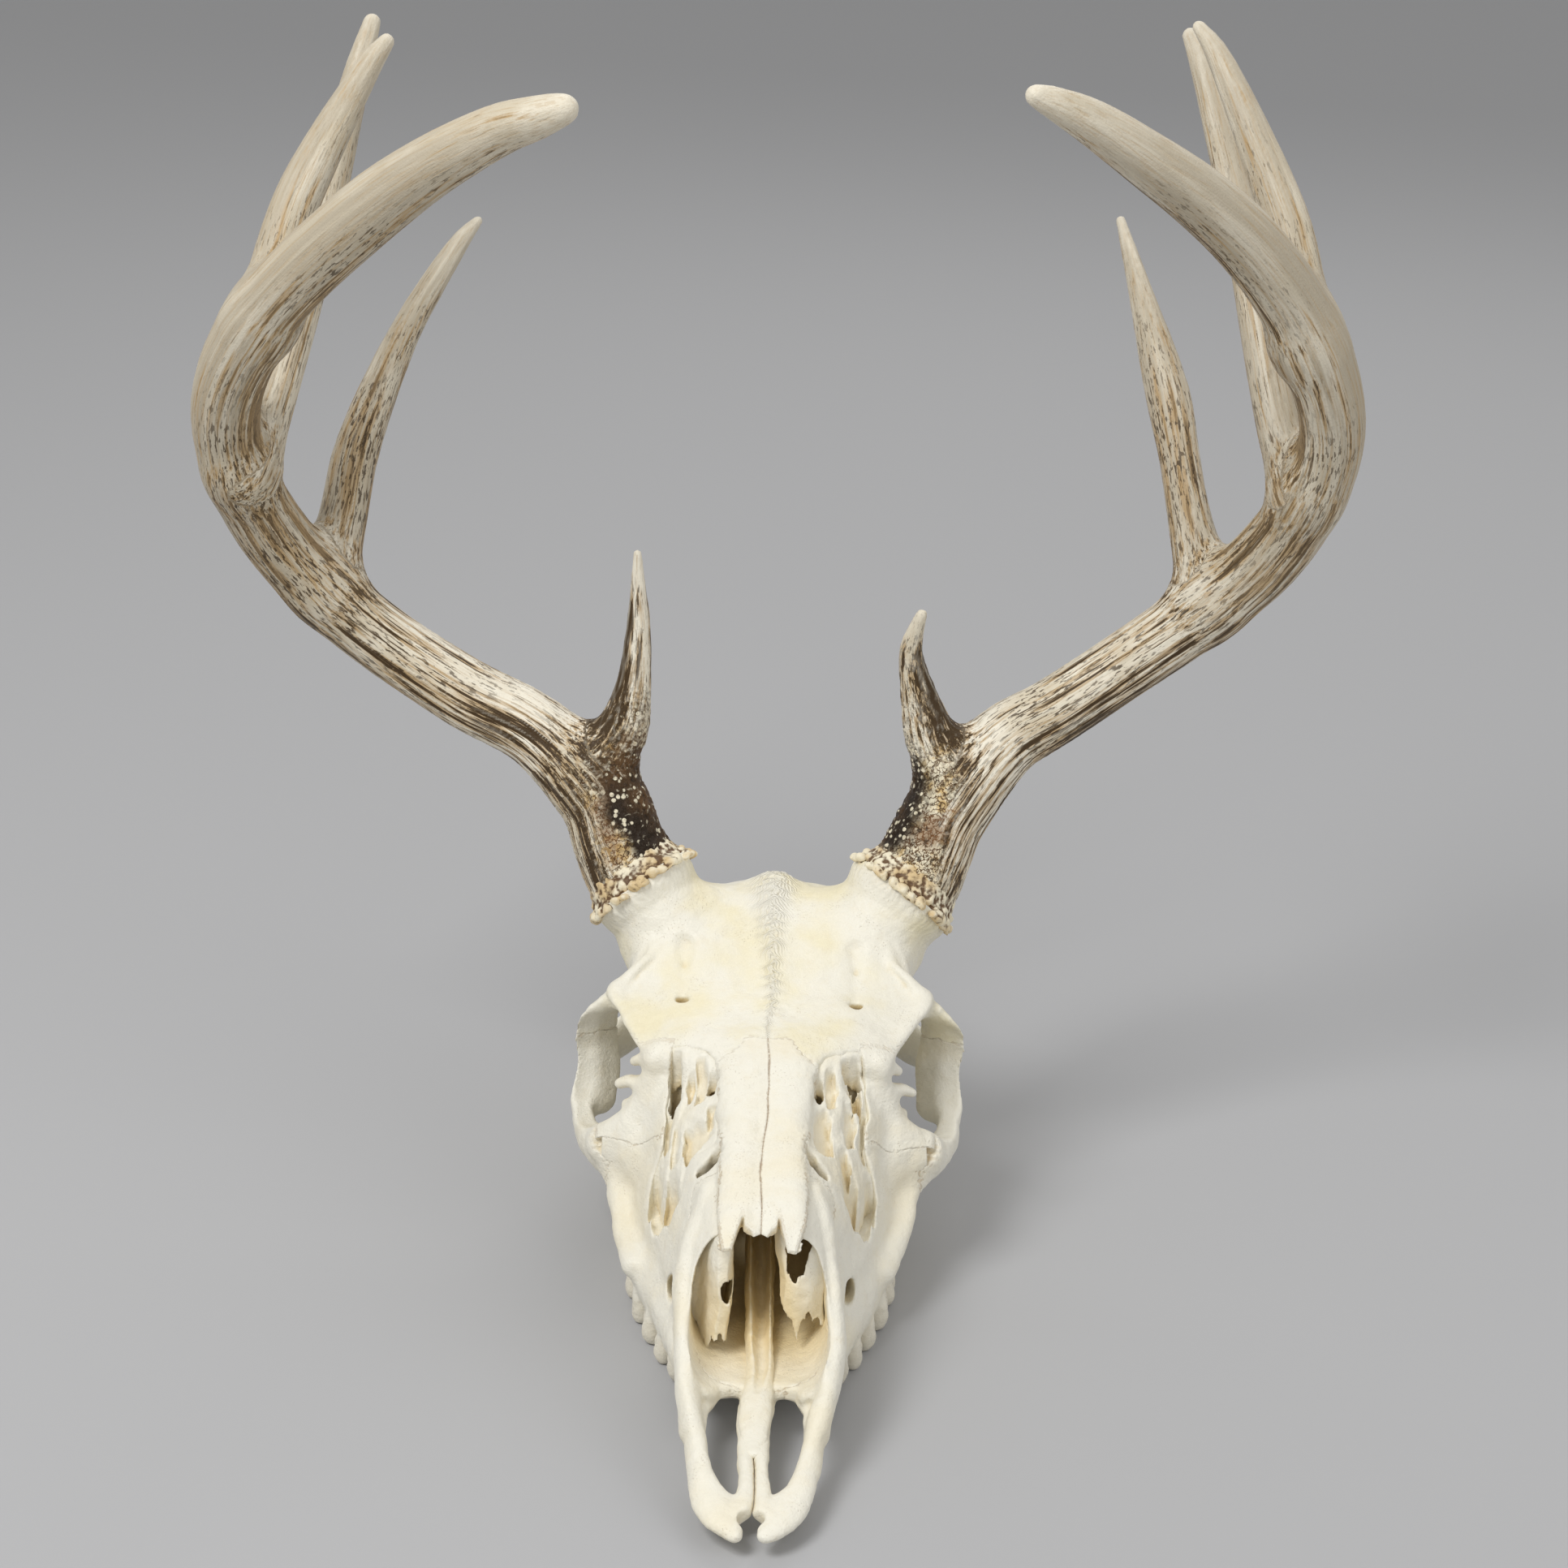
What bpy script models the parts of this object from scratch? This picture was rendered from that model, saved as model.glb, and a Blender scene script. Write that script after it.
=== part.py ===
"""White-tailed deer buck: the upper skull, without its lower jaw, and a ten-point rack, life size.

The skull lies upright on its cheek teeth and on the two processes beside the occiput. +Z is up, the nose
points along -Y and +X is the animal's left. Sizes below are millimetres: a place on the skull is (x, s, z),
with x from the mid-line, s backwards from the tips of the premaxillae and z up from the plane of the teeth.
"""

import math

import bmesh
import bpy
from mathutils import Matrix, Vector

MM = 0.001
GAP = 0.3  # clearance left between neighbouring pieces
SUTURE_GAP = 0.6  # and between neighbouring bones of the skull
SUTURE_PLAY = 0.15  # how far a bone's reduced surface may wander past its cut
NOSE_CLEARANCE = 0.9  # between the pieces inside the nose and its walls
VOXEL = 1.2  # of the mesh that joins the skull's masses
BONE_VOXEL = 0.9  # of the even mesh that is made of a cut bone before its triangles are reduced
BONE_TRIANGLES = {  # about how many triangles each bone is reduced to
    "nasal": 210,
    "premaxilla": 220,
    "lacrimal": 160,
    "zygomatic": 240,
    "frontal": 540,
    "maxilla": 590,
    "braincase": 1100,
}
SMOOTHING = 4  # passes that round the joins between them

# The middle of the model's bounding box, which becomes the world's origin.
CENTRE_X = -2.4
CENTRE_S = 181.3

BONE = (0.86, 0.82, 0.71)
TOOTH_BONE = (0.84, 0.80, 0.68)
INNER_BONE = (0.72, 0.61, 0.42)
IVORY = (0.84, 0.78, 0.62)
ANTLER_DARK = (0.28, 0.19, 0.10)
ANTLER_MID = (0.52, 0.44, 0.32)
ANTLER_PALE = (0.66, 0.61, 0.51)

# ---------------------------------------------------------------- skull masses
# Midline masses: (s, z of centre, half width, half height, squareness, narrowing towards the top)
ROSTRUM = (
    (50, 27, 20, 14, 2.6, 0.10),
    (66, 32, 23, 20, 2.8, 0.20),
    (84, 36, 27, 26, 2.6, 0.34),
    (104, 38, 34, 29, 2.6, 0.44),
    (124, 41, 42, 32, 2.6, 0.46),
    (142, 45, 47, 34, 2.6, 0.38),
    (156, 50, 47, 32, 2.5, 0.24),
    (166, 54, 41, 27, 2.4, 0.16),
)
FRONTAL_PLATE = (
    (140, 73, 24, 7, 2.2, 0.2),
    (152, 76, 36, 8, 2.2, 0.2),
    (166, 78, 42, 9, 2.3, 0.2),
    (182, 80, 48, 10, 2.4, 0.2),
    (192, 82, 47, 11, 2.4, 0.2),
    (204, 84, 43, 13, 2.4, 0.1),
    (218, 86, 45, 15, 2.5, 0.0),
    (230, 85, 43, 15, 2.4, 0.0),
    (242, 78, 36, 16, 2.3, 0.0),
    (252, 70, 28, 16, 2.3, 0.0),
)
ORBIT_CORE = (
    (150, 50, 26, 26, 2.6, 0.0),
    (170, 54, 19, 26, 2.6, -0.2),
    (190, 56, 19, 28, 2.6, -0.3),
    (208, 58, 27, 30, 2.4, -0.2),
    (224, 60, 33, 32, 2.3, 0.0),
)
BRAINCASE = (
    (206, 62, 28, 26, 2.2, 0.0),
    (220, 63, 36, 32, 2.2, 0.0),
    (236, 63, 39, 34, 2.2, 0.0),
    (252, 60, 38, 32, 2.3, 0.05),
    (264, 56, 36, 28, 2.5, 0.12),
    (274, 54, 33, 24, 2.6, 0.15),
    (279, 52, 27, 19, 2.6, 0.15),
)
SKULL_BASE = (
    (158, 30, 11, 8, 2.4, 0.0),
    (190, 31, 11, 8, 2.4, 0.0),
    (230, 30, 12, 8, 2.4, 0.0),
    (262, 31, 13, 9, 2.4, 0.0),
    (280, 36, 15, 10, 2.4, 0.0),
)
PALATE = (
    (44, 12, 18, 3.2, 3.0, 0.0),
    (66, 14, 18, 3.5, 3.0, 0.0),
    (92, 15, 22, 4.5, 3.0, 0.0),
    (120, 16, 31, 5.0, 3.0, 0.0),
    (152, 17, 34, 6.0, 3.0, 0.0),
    (168, 20, 27, 6.0, 3.0, 0.0),
)
# Paired masses: ((x, s, z), half width across, half height), built on +X and mirrored.
ALVEOLAR_RIDGE = (
    ((17, 70, 13), 5, 6),
    ((21, 88, 13), 5.5, 7),
    ((26, 106, 14), 6.5, 9),
    ((32, 130, 15), 7.5, 10),
    ((34, 152, 16), 7.5, 10),
    ((31, 169, 20), 6, 9),
)
PREMAXILLA_BODY = (
    ((4.6, 2.6, 6.5), 2.6, 2.2),
    ((6.8, 7.0, 7.2), 6.0, 3.0),
    ((10.3, 14.0, 8.4), 5.6, 3.4),
    ((15.2, 24.0, 10.5), 3.8, 4.0),
    ((18.2, 40.0, 15.0), 3.2, 5.0),
    ((20.2, 58.0, 21.5), 3.2, 6.0),
)
PREMAXILLA_RAMUS = (
    ((18.2, 40.0, 17.0), 2.8, 4.0),
    ((21.2, 56.0, 25.0), 3.0, 4.5),
    ((22.0, 72.0, 35.0), 3.0, 5.0),
    ((19.0, 88.0, 46.0), 3.0, 5.0),
    ((15.5, 100.0, 56.0), 3.0, 5.0),
)
PALATAL_PROCESS = (
    ((3.6, 6.0, 7.4), 3.6, 2.6),
    ((3.4, 22.0, 9.4), 2.9, 2.6),
    ((3.9, 40.0, 11.6), 3.4, 2.6),
    ((4.2, 60.0, 13.0), 3.8, 2.6),
)
NASAL_BLADE = (
    ((7.4, 75.0, 57.6), 3.6, 1.6),
    ((7.0, 82.0, 59.4), 5.8, 2.6),
    ((6.6, 100.0, 63.8), 6.4, 3.4),
    ((6.6, 122.0, 69.2), 6.6, 3.8),
    ((6.8, 142.0, 75.6), 7.0, 4.2),
    ((5.4, 155.0, 78.0), 5.0, 4.0),
)
CHEEK_ARCH = (
    ((40, 150, 42), 6, 9),
    ((48, 158, 40), 6, 8.5),
    ((54, 167, 38.5), 4.6, 7),
    ((57.6, 178, 39), 3.6, 6.5),
    ((58, 191, 42.5), 3.2, 6.5),
    ((55.5, 206, 46), 3.2, 5.5),
    ((49, 222, 46), 3.6, 5.0),
    ((40, 236, 47), 6, 6),
    ((32, 246, 48), 8, 8),
)
POSTORBITAL_BAR = (
    ((41, 197, 81), 8, 6),
    ((49, 196, 77), 5, 4.5),
    ((54.6, 196, 70), 3.6, 4.5),
    ((57.2, 196, 61), 3.0, 5.0),
    ((57.6, 194, 52), 3.0, 6.0),
    ((57.6, 190, 43), 3.2, 6.5),
)
SUPRAORBITAL_RIM = (
    ((38, 160, 74), 5, 4),
    ((43, 166, 78), 4.5, 4),
    ((46, 176, 83), 3.6, 3.4),
    ((47, 187, 85), 3.4, 3.4),
    ((44, 197, 83), 5, 4.5),
)
LACRIMAL_RIM = (
    ((38, 158, 74), 6, 5),
    ((42, 156, 66), 5, 6),
    ((45, 155, 56), 5, 6),
    ((49, 156, 46), 6, 6),
    ((52, 160, 40), 5, 6),
)
PEDICLE = (
    ((29, 213, 84), 17, 17),
    ((34, 216, 92), 16.0, 16.0),
    ((38.8, 218.8, 98.6), 15.4, 15.4),
    ((43.0, 221.3, 103.6), 16.0, 16.0),
)
JUGULAR_PROCESS = (
    ((30, 254, 46), 6, 9),
    ((28, 259, 32), 4.5, 7),
    ((27, 262, 18), 3.4, 5),
    ((26.5, 264, 6), 3.0, 4),
    ((26.5, 264.5, -1.6), 2.6, 3.4),
)
PTERYGOID = (
    ((15, 156, 22), 3, 9),
    ((12, 172, 24), 2, 11),
    ((11, 188, 27), 2, 9),
)
OCCIPITAL_CONDYLE = ((13, 283, 36), (8, 10, 11))
AUDITORY_BULLA = ((20, 247, 27), (7, 10, 10))
NUCHAL_CREST = (
    ((0, 276, 77), 5, 4),
    ((14, 275, 75), 5, 4),
    ((27, 270, 66), 5, 5),
    ((33, 262, 52), 5, 5),
)
MIDLINE_RIDGE = (
    ((0, 170, 86), 5, 3),
    ((0, 200, 93.5), 6, 3.5),
    ((0, 222, 98.5), 7, 4),
    ((0, 236, 93), 7, 5),
    ((0, 246, 86), 6, 5),
)

# Cheek teeth from front to back: (s of middle, x of middle, length, width across)
CHEEK_TEETH = (
    (90.5, 21.5, 10.5, 8.5),
    (101.5, 24.8, 11.0, 10.5),
    (112.5, 28.2, 11.0, 12.0),
    (125.5, 31.8, 13.5, 13.0),
    (140.5, 34.0, 15.0, 13.5),
    (156, 33.5, 14.5, 13.0),
)
# A cusp from the gum down: (share of the lobe's offset, height above its tip, half width, half length), where
# the last two are shares of the tooth's own width and length.
CUSP_SHAPE = (
    (1.0, 14.0, 0.26, 0.27),
    (1.0, 4.0, 0.26, 0.26),
    (1.1, 1.0, 0.20, 0.20),
    (1.2, 0.0, 0.09, 0.10),
)
CUSP_BELOW_FLOOR = 0.6  # the floor plane then cuts a small flat on each cusp that carries the skull
END_TEETH_LIFT = 1.1  # the teeth at the front and back of the row stand this much higher

# ---------------------------------------------------------------- openings
NASAL_CAVITY = (
    (30, 34, 14.5, 16, 3.2, 0.0),
    (56, 36, 18.5, 18, 3.2, 0.06),
    (78, 37, 18.5, 19, 3.0, 0.22),
    (100, 40, 20, 20, 2.8, 0.30),
    (124, 46, 26, 22, 2.6, 0.34),
    (142, 51, 28, 20, 2.6, 0.34),
    (149, 53, 23, 15, 2.6, 0.34),
)
ORBIT = ((41, 176, 61.5), (22, 17.5, 19.0))
ORBIT_FUNNEL = ((57, 174, 61), (14, 16.0, 19.0))
INCISIVE_FORAMEN = ((10.4, 37, 11), (4.5, 19, 12))
VACUITY = (
    ((27.0, 103, 46), 3.0, 9),
    ((25.0, 116, 54), 6.0, 11),
    ((22.4, 132, 64), 9.6, 13),
    ((21.8, 142, 70), 9.2, 12),
    ((21.8, 148, 73), 6.4, 8),
)
SUPRAORBITAL_FORAMEN = ((27, 182, 88), (2.4, 2.0, 9))
INFRAORBITAL_FORAMEN = ((28, 90, 30), (7, 3.0, 3.6))
FORAMEN_MAGNUM = ((0, 282, 45), (8.5, 16, 8.0))
CHOANA = ((0, 168, 22), (8, 16, 6))

# ---------------------------------------------------------------- pieces inside the nose
VOMER = (
    ((0, 48, 18.5), 3.6, 2.4),
    ((0, 66, 22), 4.2, 4.0),
    ((0, 88, 27), 4.2, 7.0),
    ((0, 112, 34), 4.4, 11.0),
    ((0, 140, 45), 4.4, 14.0),
)
TURBINATE = (
    ((12.4, 74, 34), 3.4, 7),
    ((12.4, 90, 38), 5.2, 11),
    ((13.6, 110, 43), 6.6, 13),
    ((16.0, 132, 49), 8.4, 13),
    ((15.0, 146, 52), 6.0, 9),
)

# ---------------------------------------------------------------- antlers
# Beam stations: ((x, s, z), radius). Each antler is read from the photograph, so they differ a little.
RIGHT_BEAM = (
    ((-41.8, 220.6, 102.4), 15.5),
    ((-46.0, 223.1, 107.6), 15.0),
    ((-50.4, 226.0, 116.0), 14.2),
    ((-56.5, 231.0, 129.0), 13.6),
    ((-76.9, 238.8, 146.9), 11.6),
    ((-100.8, 244.0, 157.7), 11.1),
    ((-125.6, 248.6, 172.4), 10.8),
    ((-146.0, 248.4, 190.0), 10.9),
    ((-161.6, 242.0, 212.0), 11.0),
    ((-170.3, 230.0, 237.2), 10.4),
    ((-170.3, 219.3, 258.1), 10.5),
    ((-161.9, 207.9, 278.6), 10.7),
    ((-146.2, 196.7, 299.7), 10.0),
    ((-122.6, 184.2, 322.9), 9.8),
    ((-102.6, 174.4, 339.1), 8.7),
    ((-83.3, 166.1, 351.2), 7.0),
    ((-71.6, 160.6, 356.2), 5.4),
    ((-63.5, 157.5, 359.5), 3.2),
    ((-60.5, 156.7, 360.1), 1.2),
)
RIGHT_TINES = {
    "brow_tine": (
        ((-60.0, 233.0, 136.0), 9.0),
        ((-50.0, 233.3, 150.0), 8.0),
        ((-46.2, 233.8, 164.6), 5.4),
        ((-44.7, 233.7, 183.9), 3.7),
        ((-45.3, 233.2, 210.6), 0.9),
    ),
    "second_tine": (
        ((-145.6, 250.0, 191.0), 9.6),
        ((-141.9, 264.9, 209.5), 7.8),
        ((-138.9, 285.4, 229.2), 7.3),
        ((-128.0, 318.6, 257.2), 5.2),
        ((-114.4, 347.5, 279.6), 3.5),
        ((-106.7, 359.5, 288.5), 0.9),
    ),
    "third_tine": (
        ((-167.0, 229.8, 233.0), 9.0),
        ((-159.9, 242.8, 252.3), 7.0),
        ((-149.1, 271.9, 297.5), 6.4),
        ((-140.4, 299.5, 341.4), 3.9),
        ((-135.4, 312.8, 362.0), 0.9),
    ),
    "fourth_tine": (
        ((-155.0, 206.0, 287.0), 8.6),
        ((-150.6, 220.1, 310.4), 7.3),
        ((-144.5, 231.7, 326.6), 6.8),
        ((-130.8, 252.4, 352.6), 3.9),
        ((-124.3, 261.5, 362.3), 0.9),
    ),
}
LEFT_BEAM = (
    ((41.8, 220.6, 102.4), 15.5),
    ((46.0, 223.1, 107.6), 14.8),
    ((50.0, 226.0, 116.0), 13.8),
    ((55.8, 230.6, 127.5), 13.2),
    ((72.0, 239.0, 147.5), 11.8),
    ((90.0, 244.1, 158.1), 11.1),
    ((113.1, 249.0, 173.6), 10.8),
    ((135.5, 250.0, 191.2), 10.9),
    ((153.0, 244.5, 211.0), 11.2),
    ((163.7, 232.1, 235.5), 10.4),
    ((166.3, 221.3, 257.8), 10.1),
    ((159.6, 210.7, 280.4), 10.6),
    ((147.1, 202.2, 302.8), 10.0),
    ((132.0, 193.2, 321.1), 9.6),
    ((116.1, 184.7, 335.3), 9.0),
    ((98.3, 175.6, 348.0), 7.8),
    ((83.5, 168.7, 357.9), 6.2),
    ((72.7, 163.7, 364.4), 4.0),
    ((64.3, 160.1, 367.4), 1.2),
)
LEFT_TINES = {
    "brow_tine": (
        ((57.0, 234.0, 138.0), 9.0),
        ((49.5, 234.6, 151.0), 8.0),
        ((44.4, 233.6, 166.8), 5.2),
        ((41.5, 230.6, 181.4), 3.2),
        ((44.4, 225.5, 196.0), 0.9),
    ),
    "second_tine": (
        ((136.5, 251.0, 194.0), 9.6),
        ((131.1, 267.2, 215.3), 7.3),
        ((128.4, 286.3, 231.7), 6.7),
        ((124.9, 304.8, 249.2), 6.9),
        ((117.0, 337.8, 276.5), 3.8),
        ((111.0, 360.2, 295.8), 0.9),
    ),
    "third_tine": (
        ((160.5, 233.0, 236.0), 9.0),
        ((152.3, 246.3, 258.7), 7.0),
        ((142.8, 275.2, 306.1), 6.4),
        ((130.7, 302.6, 349.6), 3.9),
        ((124.5, 313.9, 364.9), 0.9),
    ),
    "fourth_tine": (
        ((153.0, 209.0, 288.0), 8.6),
        ((150.7, 220.0, 310.0), 7.3),
        ((144.9, 232.3, 328.2), 6.8),
        ((129.5, 255.8, 361.6), 3.9),
        ((121.0, 265.9, 374.0), 0.9),
    ),
}
BURR_PLACE = (41.8, 220.6, 102.4)
BURR_RADIUS = 19.6
BURR_THICKNESS = 3.4
BURR_CLEARING = 16.0  # how far above the burr the skull is cut away
BURR_AXIS = (0.60, 0.35, 0.72)  # outwards, back, up
BURR_SIDES = 20
BEAM_SIDES = 12
TINE_SIDES = 8
RINGS_BETWEEN = 2
# Where the beam is parted, just past each fork, counted in its stations.
BEAM_LENGTHS = (
    ("base", 0.0, 4.2),
    ("beam_lower", 4.2, 7.6),
    ("beam_middle", 7.6, 9.8),
    ("beam_upper", 9.8, 12.2),
    ("beam_tip", 12.2, 18.0),
)
STATION_GAP = 0.016  # the clearance between two lengths of beam, counted in stations

# ---------------------------------------------------------------- how the skull is parted
# Each bone takes what is left of the skull inside its claim, in this order: (name, x range, outline in s, z).
CLAIMS = (
    (
        "nasal",
        (0.15, 13.8),
        ((70, 54), (100, 59), (124, 65), (142, 69.5), (153.5, 71), (153.5, 100), (70, 100)),
    ),
    (
        "premaxilla",
        (0.15, 32.0),
        ((-10, -2), (55, -2), (57, 19), (74, 30), (92, 43), (106, 56), (100, 66), (60, 50), (-10, 30)),
    ),
    ("lacrimal", (29.5, 52.0), ((139, 53), (164, 48), (164, 76.5), (139, 79))),
    (
        "zygomatic",
        (39.5, 75.0),
        ((148, 22), (226, 34), (226, 56), (211, 64), (186, 64), (176, 52), (148, 52)),
    ),
    (
        "frontal",
        (0.15, 75.0),
        ((139, 64), (212, 64), (222, 72), (238, 76), (247, 88), (247, 125), (150, 125), (139, 100)),
    ),
    ("maxilla", (0.15, 75.0), ((40, -2), (163, -2), (163, 100), (40, 100))),
)
BRAINCASE_CLAIM = ((-75.0, 75.0), ((163, -2), (320, -2), (320, 110), (163, 110)))
BONES_BESIDE_BRAINCASE = ("lacrimal", "zygomatic", "frontal", "maxilla")
BONES_ON_FLOOR = ("maxilla", "braincase")
UNDER_FLOOR = ((-90, -20, -12), (90, 320, 0))  # the block that cuts the small flats the skull rests on


# ---------------------------------------------------------------- making meshes
def world(x, s, z):
    return Vector(((x - CENTRE_X) * MM, (s - CENTRE_S) * MM, z * MM))


def material(name, colour, roughness):
    made = bpy.data.materials.new(name)
    made.use_nodes = True
    shader = made.node_tree.nodes["Principled BSDF"]
    shader.inputs["Base Color"].default_value = (*colour, 1.0)
    shader.inputs["Roughness"].default_value = roughness
    shader.inputs["Metallic"].default_value = 0.0
    made.diffuse_color = (*colour, 1.0)
    return made


def new_object(name, mesh, helper=False):
    made = bpy.data.objects.new(name, mesh)
    bpy.context.scene.collection.objects.link(made)
    if helper:
        made.hide_render = True
        made.display_type = "WIRE"
    return made


def finish_mesh(name, shape):
    bmesh.ops.recalc_face_normals(shape, faces=shape.faces)
    mesh = bpy.data.meshes.new(name)
    shape.to_mesh(mesh)
    shape.free()
    return mesh


def power_curve(value, squareness):
    return math.copysign(abs(value) ** (2.0 / squareness), value)


def skin_rings(shape, rings):
    """Bridges rings of the same number of vertices and closes both ends."""
    for lower, upper in zip(rings, rings[1:]):
        count = len(lower)
        for i in range(count):
            j = (i + 1) % count
            shape.faces.new((lower[i], lower[j], upper[j], upper[i]))
    shape.faces.new(list(reversed(rings[0])))
    shape.faces.new(rings[-1])


def smooth_between(values, t):
    """Catmull-Rom value at position t of a list of equal-length number tuples."""
    last = len(values) - 1
    i = min(int(t), last - 1)
    f = t - i
    p0, p1, p2, p3 = (values[max(0, min(last, i + k))] for k in (-1, 0, 1, 2))
    return tuple(
        0.5 * (2 * b + (c - a) * f + (2 * a - 5 * b + 4 * c - d) * f * f + (3 * b - a - 3 * c + d) * f**3)
        for a, b, c, d in zip(p0, p1, p2, p3)
    )


def midline_mass(shape, stations, sides=24, between=2):
    """A closed mass along s whose sections are superellipses narrowed towards the top."""
    rings = []
    steps = (len(stations) - 1) * between
    for step in range(steps + 1):
        s, z, half_width, half_height, squareness, narrowing = smooth_between(stations, step / between)
        ring = []
        for i in range(sides):
            angle = math.tau * i / sides
            across = power_curve(math.cos(angle), squareness)
            up = power_curve(math.sin(angle), squareness)
            x = half_width * across * (1.0 - narrowing * (up + 1.0) * 0.5)
            ring.append(shape.verts.new(world(x, s, z + half_height * up)))
        rings.append(ring)
    skin_rings(shape, rings)


def frames_along(headings):
    """A direction, a sideways and an upward vector for each heading, turning as little as they can."""
    frames = []
    for ahead in headings:
        if not frames:
            hint = Vector((0, 0, 1)) if abs(ahead.z) < 0.9 else Vector((0, 1, 0))
            side = ahead.cross(hint).normalized()
        else:
            side = frames[-1][1]
            side = (side - ahead * side.dot(ahead)).normalized()
        frames.append((ahead, side, side.cross(ahead).normalized()))
    return frames


HEADING_STEP = 0.05  # how far before and after a place on a path its direction is read, in stations
NEAR_END = 0.12  # a ring this near the end of a length is left out, in stations


def flipped(place, side):
    return (place[0] * side, place[1], place[2])


def swept_mass(shape, stations, side=1, sides=16, between=3, grow=0.0, first=0.0, last=None):
    """A closed mass along a path: each station is (place, radius) or (place, half across, half up)."""
    rows = [(*flipped(station[0], side), station[1], station[-1]) for station in stations]
    last = len(rows) - 1 if last is None else last
    inner = [i / between for i in range(round(len(rows) * between))]
    places = [t for t in inner if t < first] + [first]
    places += [t for t in inner if first + NEAR_END < t < last - NEAR_END] + [last]
    headings = []
    for t in places:
        before = Vector(smooth_between(rows, max(0.0, t - HEADING_STEP))[:3])
        after = Vector(smooth_between(rows, min(len(rows) - 1.0, t + HEADING_STEP))[:3])
        headings.append((after - before).normalized())
    rings = []
    for t, (_, across, up) in zip(places, frames_along(headings)):
        if t < first:
            continue
        sample = smooth_between(rows, t)
        point = world(*sample[:3])
        ring = []
        for i in range(sides):
            angle = math.tau * i / sides
            out = across * math.cos(angle) * max(0.3, sample[3] + grow) * MM
            out += up * math.sin(angle) * max(0.3, sample[4] + grow) * MM
            ring.append(shape.verts.new(point + out))
        rings.append(ring)
    skin_rings(shape, rings)


def egg(shape, place, radii, side=1, rings=8):
    """An ellipsoid, made as a squashed sphere."""
    size = [radius * MM for radius in radii]
    matrix = Matrix.Translation(world(*flipped(place, side))) @ Matrix.Diagonal((*size, 1.0))
    bmesh.ops.create_uvsphere(shape, u_segments=2 * rings, v_segments=rings, radius=1.0, matrix=matrix)


def box(shape, low, high):
    middle = world(*((a + b) / 2 for a, b in zip(low, high)))
    size = [(b - a) * MM for a, b in zip(low, high)]
    matrix = Matrix.Translation(middle) @ Matrix.Diagonal((*size, 1.0))
    bmesh.ops.create_cube(shape, size=1.0, matrix=matrix)


# ---------------------------------------------------------------- the whole skull, before it is parted
def tooth(shape, s, x, length, width, lift, side):
    """One cheek tooth: two lobes, one behind the other, each with an inner and an outer cusp."""
    foot = lift - CUSP_BELOW_FLOOR
    for lobe in (-0.25, 0.25):
        for across in (-0.24, 0.24):
            stations = []
            for outward, height, half_width, half_length in CUSP_SHAPE:
                place = (x + across * outward * width, s + lobe * length, foot + height)
                stations.append((place, half_width * width, half_length * length))
            swept_mass(shape, stations, side, sides=10, between=2)


def skull_masses():
    shape = bmesh.new()
    for stations in (ROSTRUM, FRONTAL_PLATE, ORBIT_CORE, BRAINCASE, SKULL_BASE, PALATE):
        midline_mass(shape, stations)
    swept_mass(shape, MIDLINE_RIDGE)
    paired = (ALVEOLAR_RIDGE, PREMAXILLA_BODY, PREMAXILLA_RAMUS, PALATAL_PROCESS, NASAL_BLADE)
    paired += (CHEEK_ARCH, POSTORBITAL_BAR, SUPRAORBITAL_RIM, LACRIMAL_RIM, PEDICLE, JUGULAR_PROCESS)
    paired += (PTERYGOID, NUCHAL_CREST)
    for side in (-1, 1):
        for stations in paired:
            swept_mass(shape, stations, side)
        egg(shape, *OCCIPITAL_CONDYLE, side)
        egg(shape, *AUDITORY_BULLA, side)
        for number, (s, x, length, width) in enumerate(CHEEK_TEETH):
            lift = 0.0 if 0 < number < 4 else END_TEETH_LIFT
            tooth(shape, s, x, length, width, lift, side)
    return new_object("skull_masses", finish_mesh("skull_masses", shape), helper=True)


def skull_openings():
    """Every hollow that is cut from the joined masses, as one list of cutters."""
    cutters = []

    def cutter(name, build):
        shape = bmesh.new()
        build(shape)
        cutters.append(new_object(name, finish_mesh(name, shape), helper=True))

    above_burr = burr_stations(-BURR_THICKNESS / 2 - GAP, BURR_CLEARING, BURR_RADIUS + BURR_THICKNESS)
    cutter("cut_nose", lambda shape: midline_mass(shape, NASAL_CAVITY))
    cutter("cut_foramen_magnum", lambda shape: egg(shape, *FORAMEN_MAGNUM))
    cutter("cut_choana", lambda shape: egg(shape, *CHOANA))
    for side, word in ((-1, "right"), (1, "left")):
        cutter(f"cut_orbit_{word}", lambda shape, side=side: egg(shape, *ORBIT, side))
        cutter(f"cut_orbit_funnel_{word}", lambda shape, side=side: egg(shape, *ORBIT_FUNNEL, side))
        cutter(f"cut_incisive_{word}", lambda shape, side=side: egg(shape, *INCISIVE_FORAMEN, side))
        cutter(f"cut_vacuity_{word}", lambda shape, side=side: swept_mass(shape, VACUITY, side))
        cutter(f"cut_supraorbital_{word}", lambda shape, side=side: egg(shape, *SUPRAORBITAL_FORAMEN, side))
        cutter(f"cut_infraorbital_{word}", lambda shape, side=side: egg(shape, *INFRAORBITAL_FORAMEN, side))
        cutter(f"cut_burr_{word}", lambda shape, side=side: swept_mass(shape, above_burr, side, between=1))
    return cutters


def add_boolean(target, operation, other):
    made = target.modifiers.new(f"{operation.lower()}_{other.name}", "BOOLEAN")
    made.operation = operation
    made.object = other
    made.solver = "MANIFOLD"  # every mesh here is closed, and EXACT leaves open slivers at nearly equal faces


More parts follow.
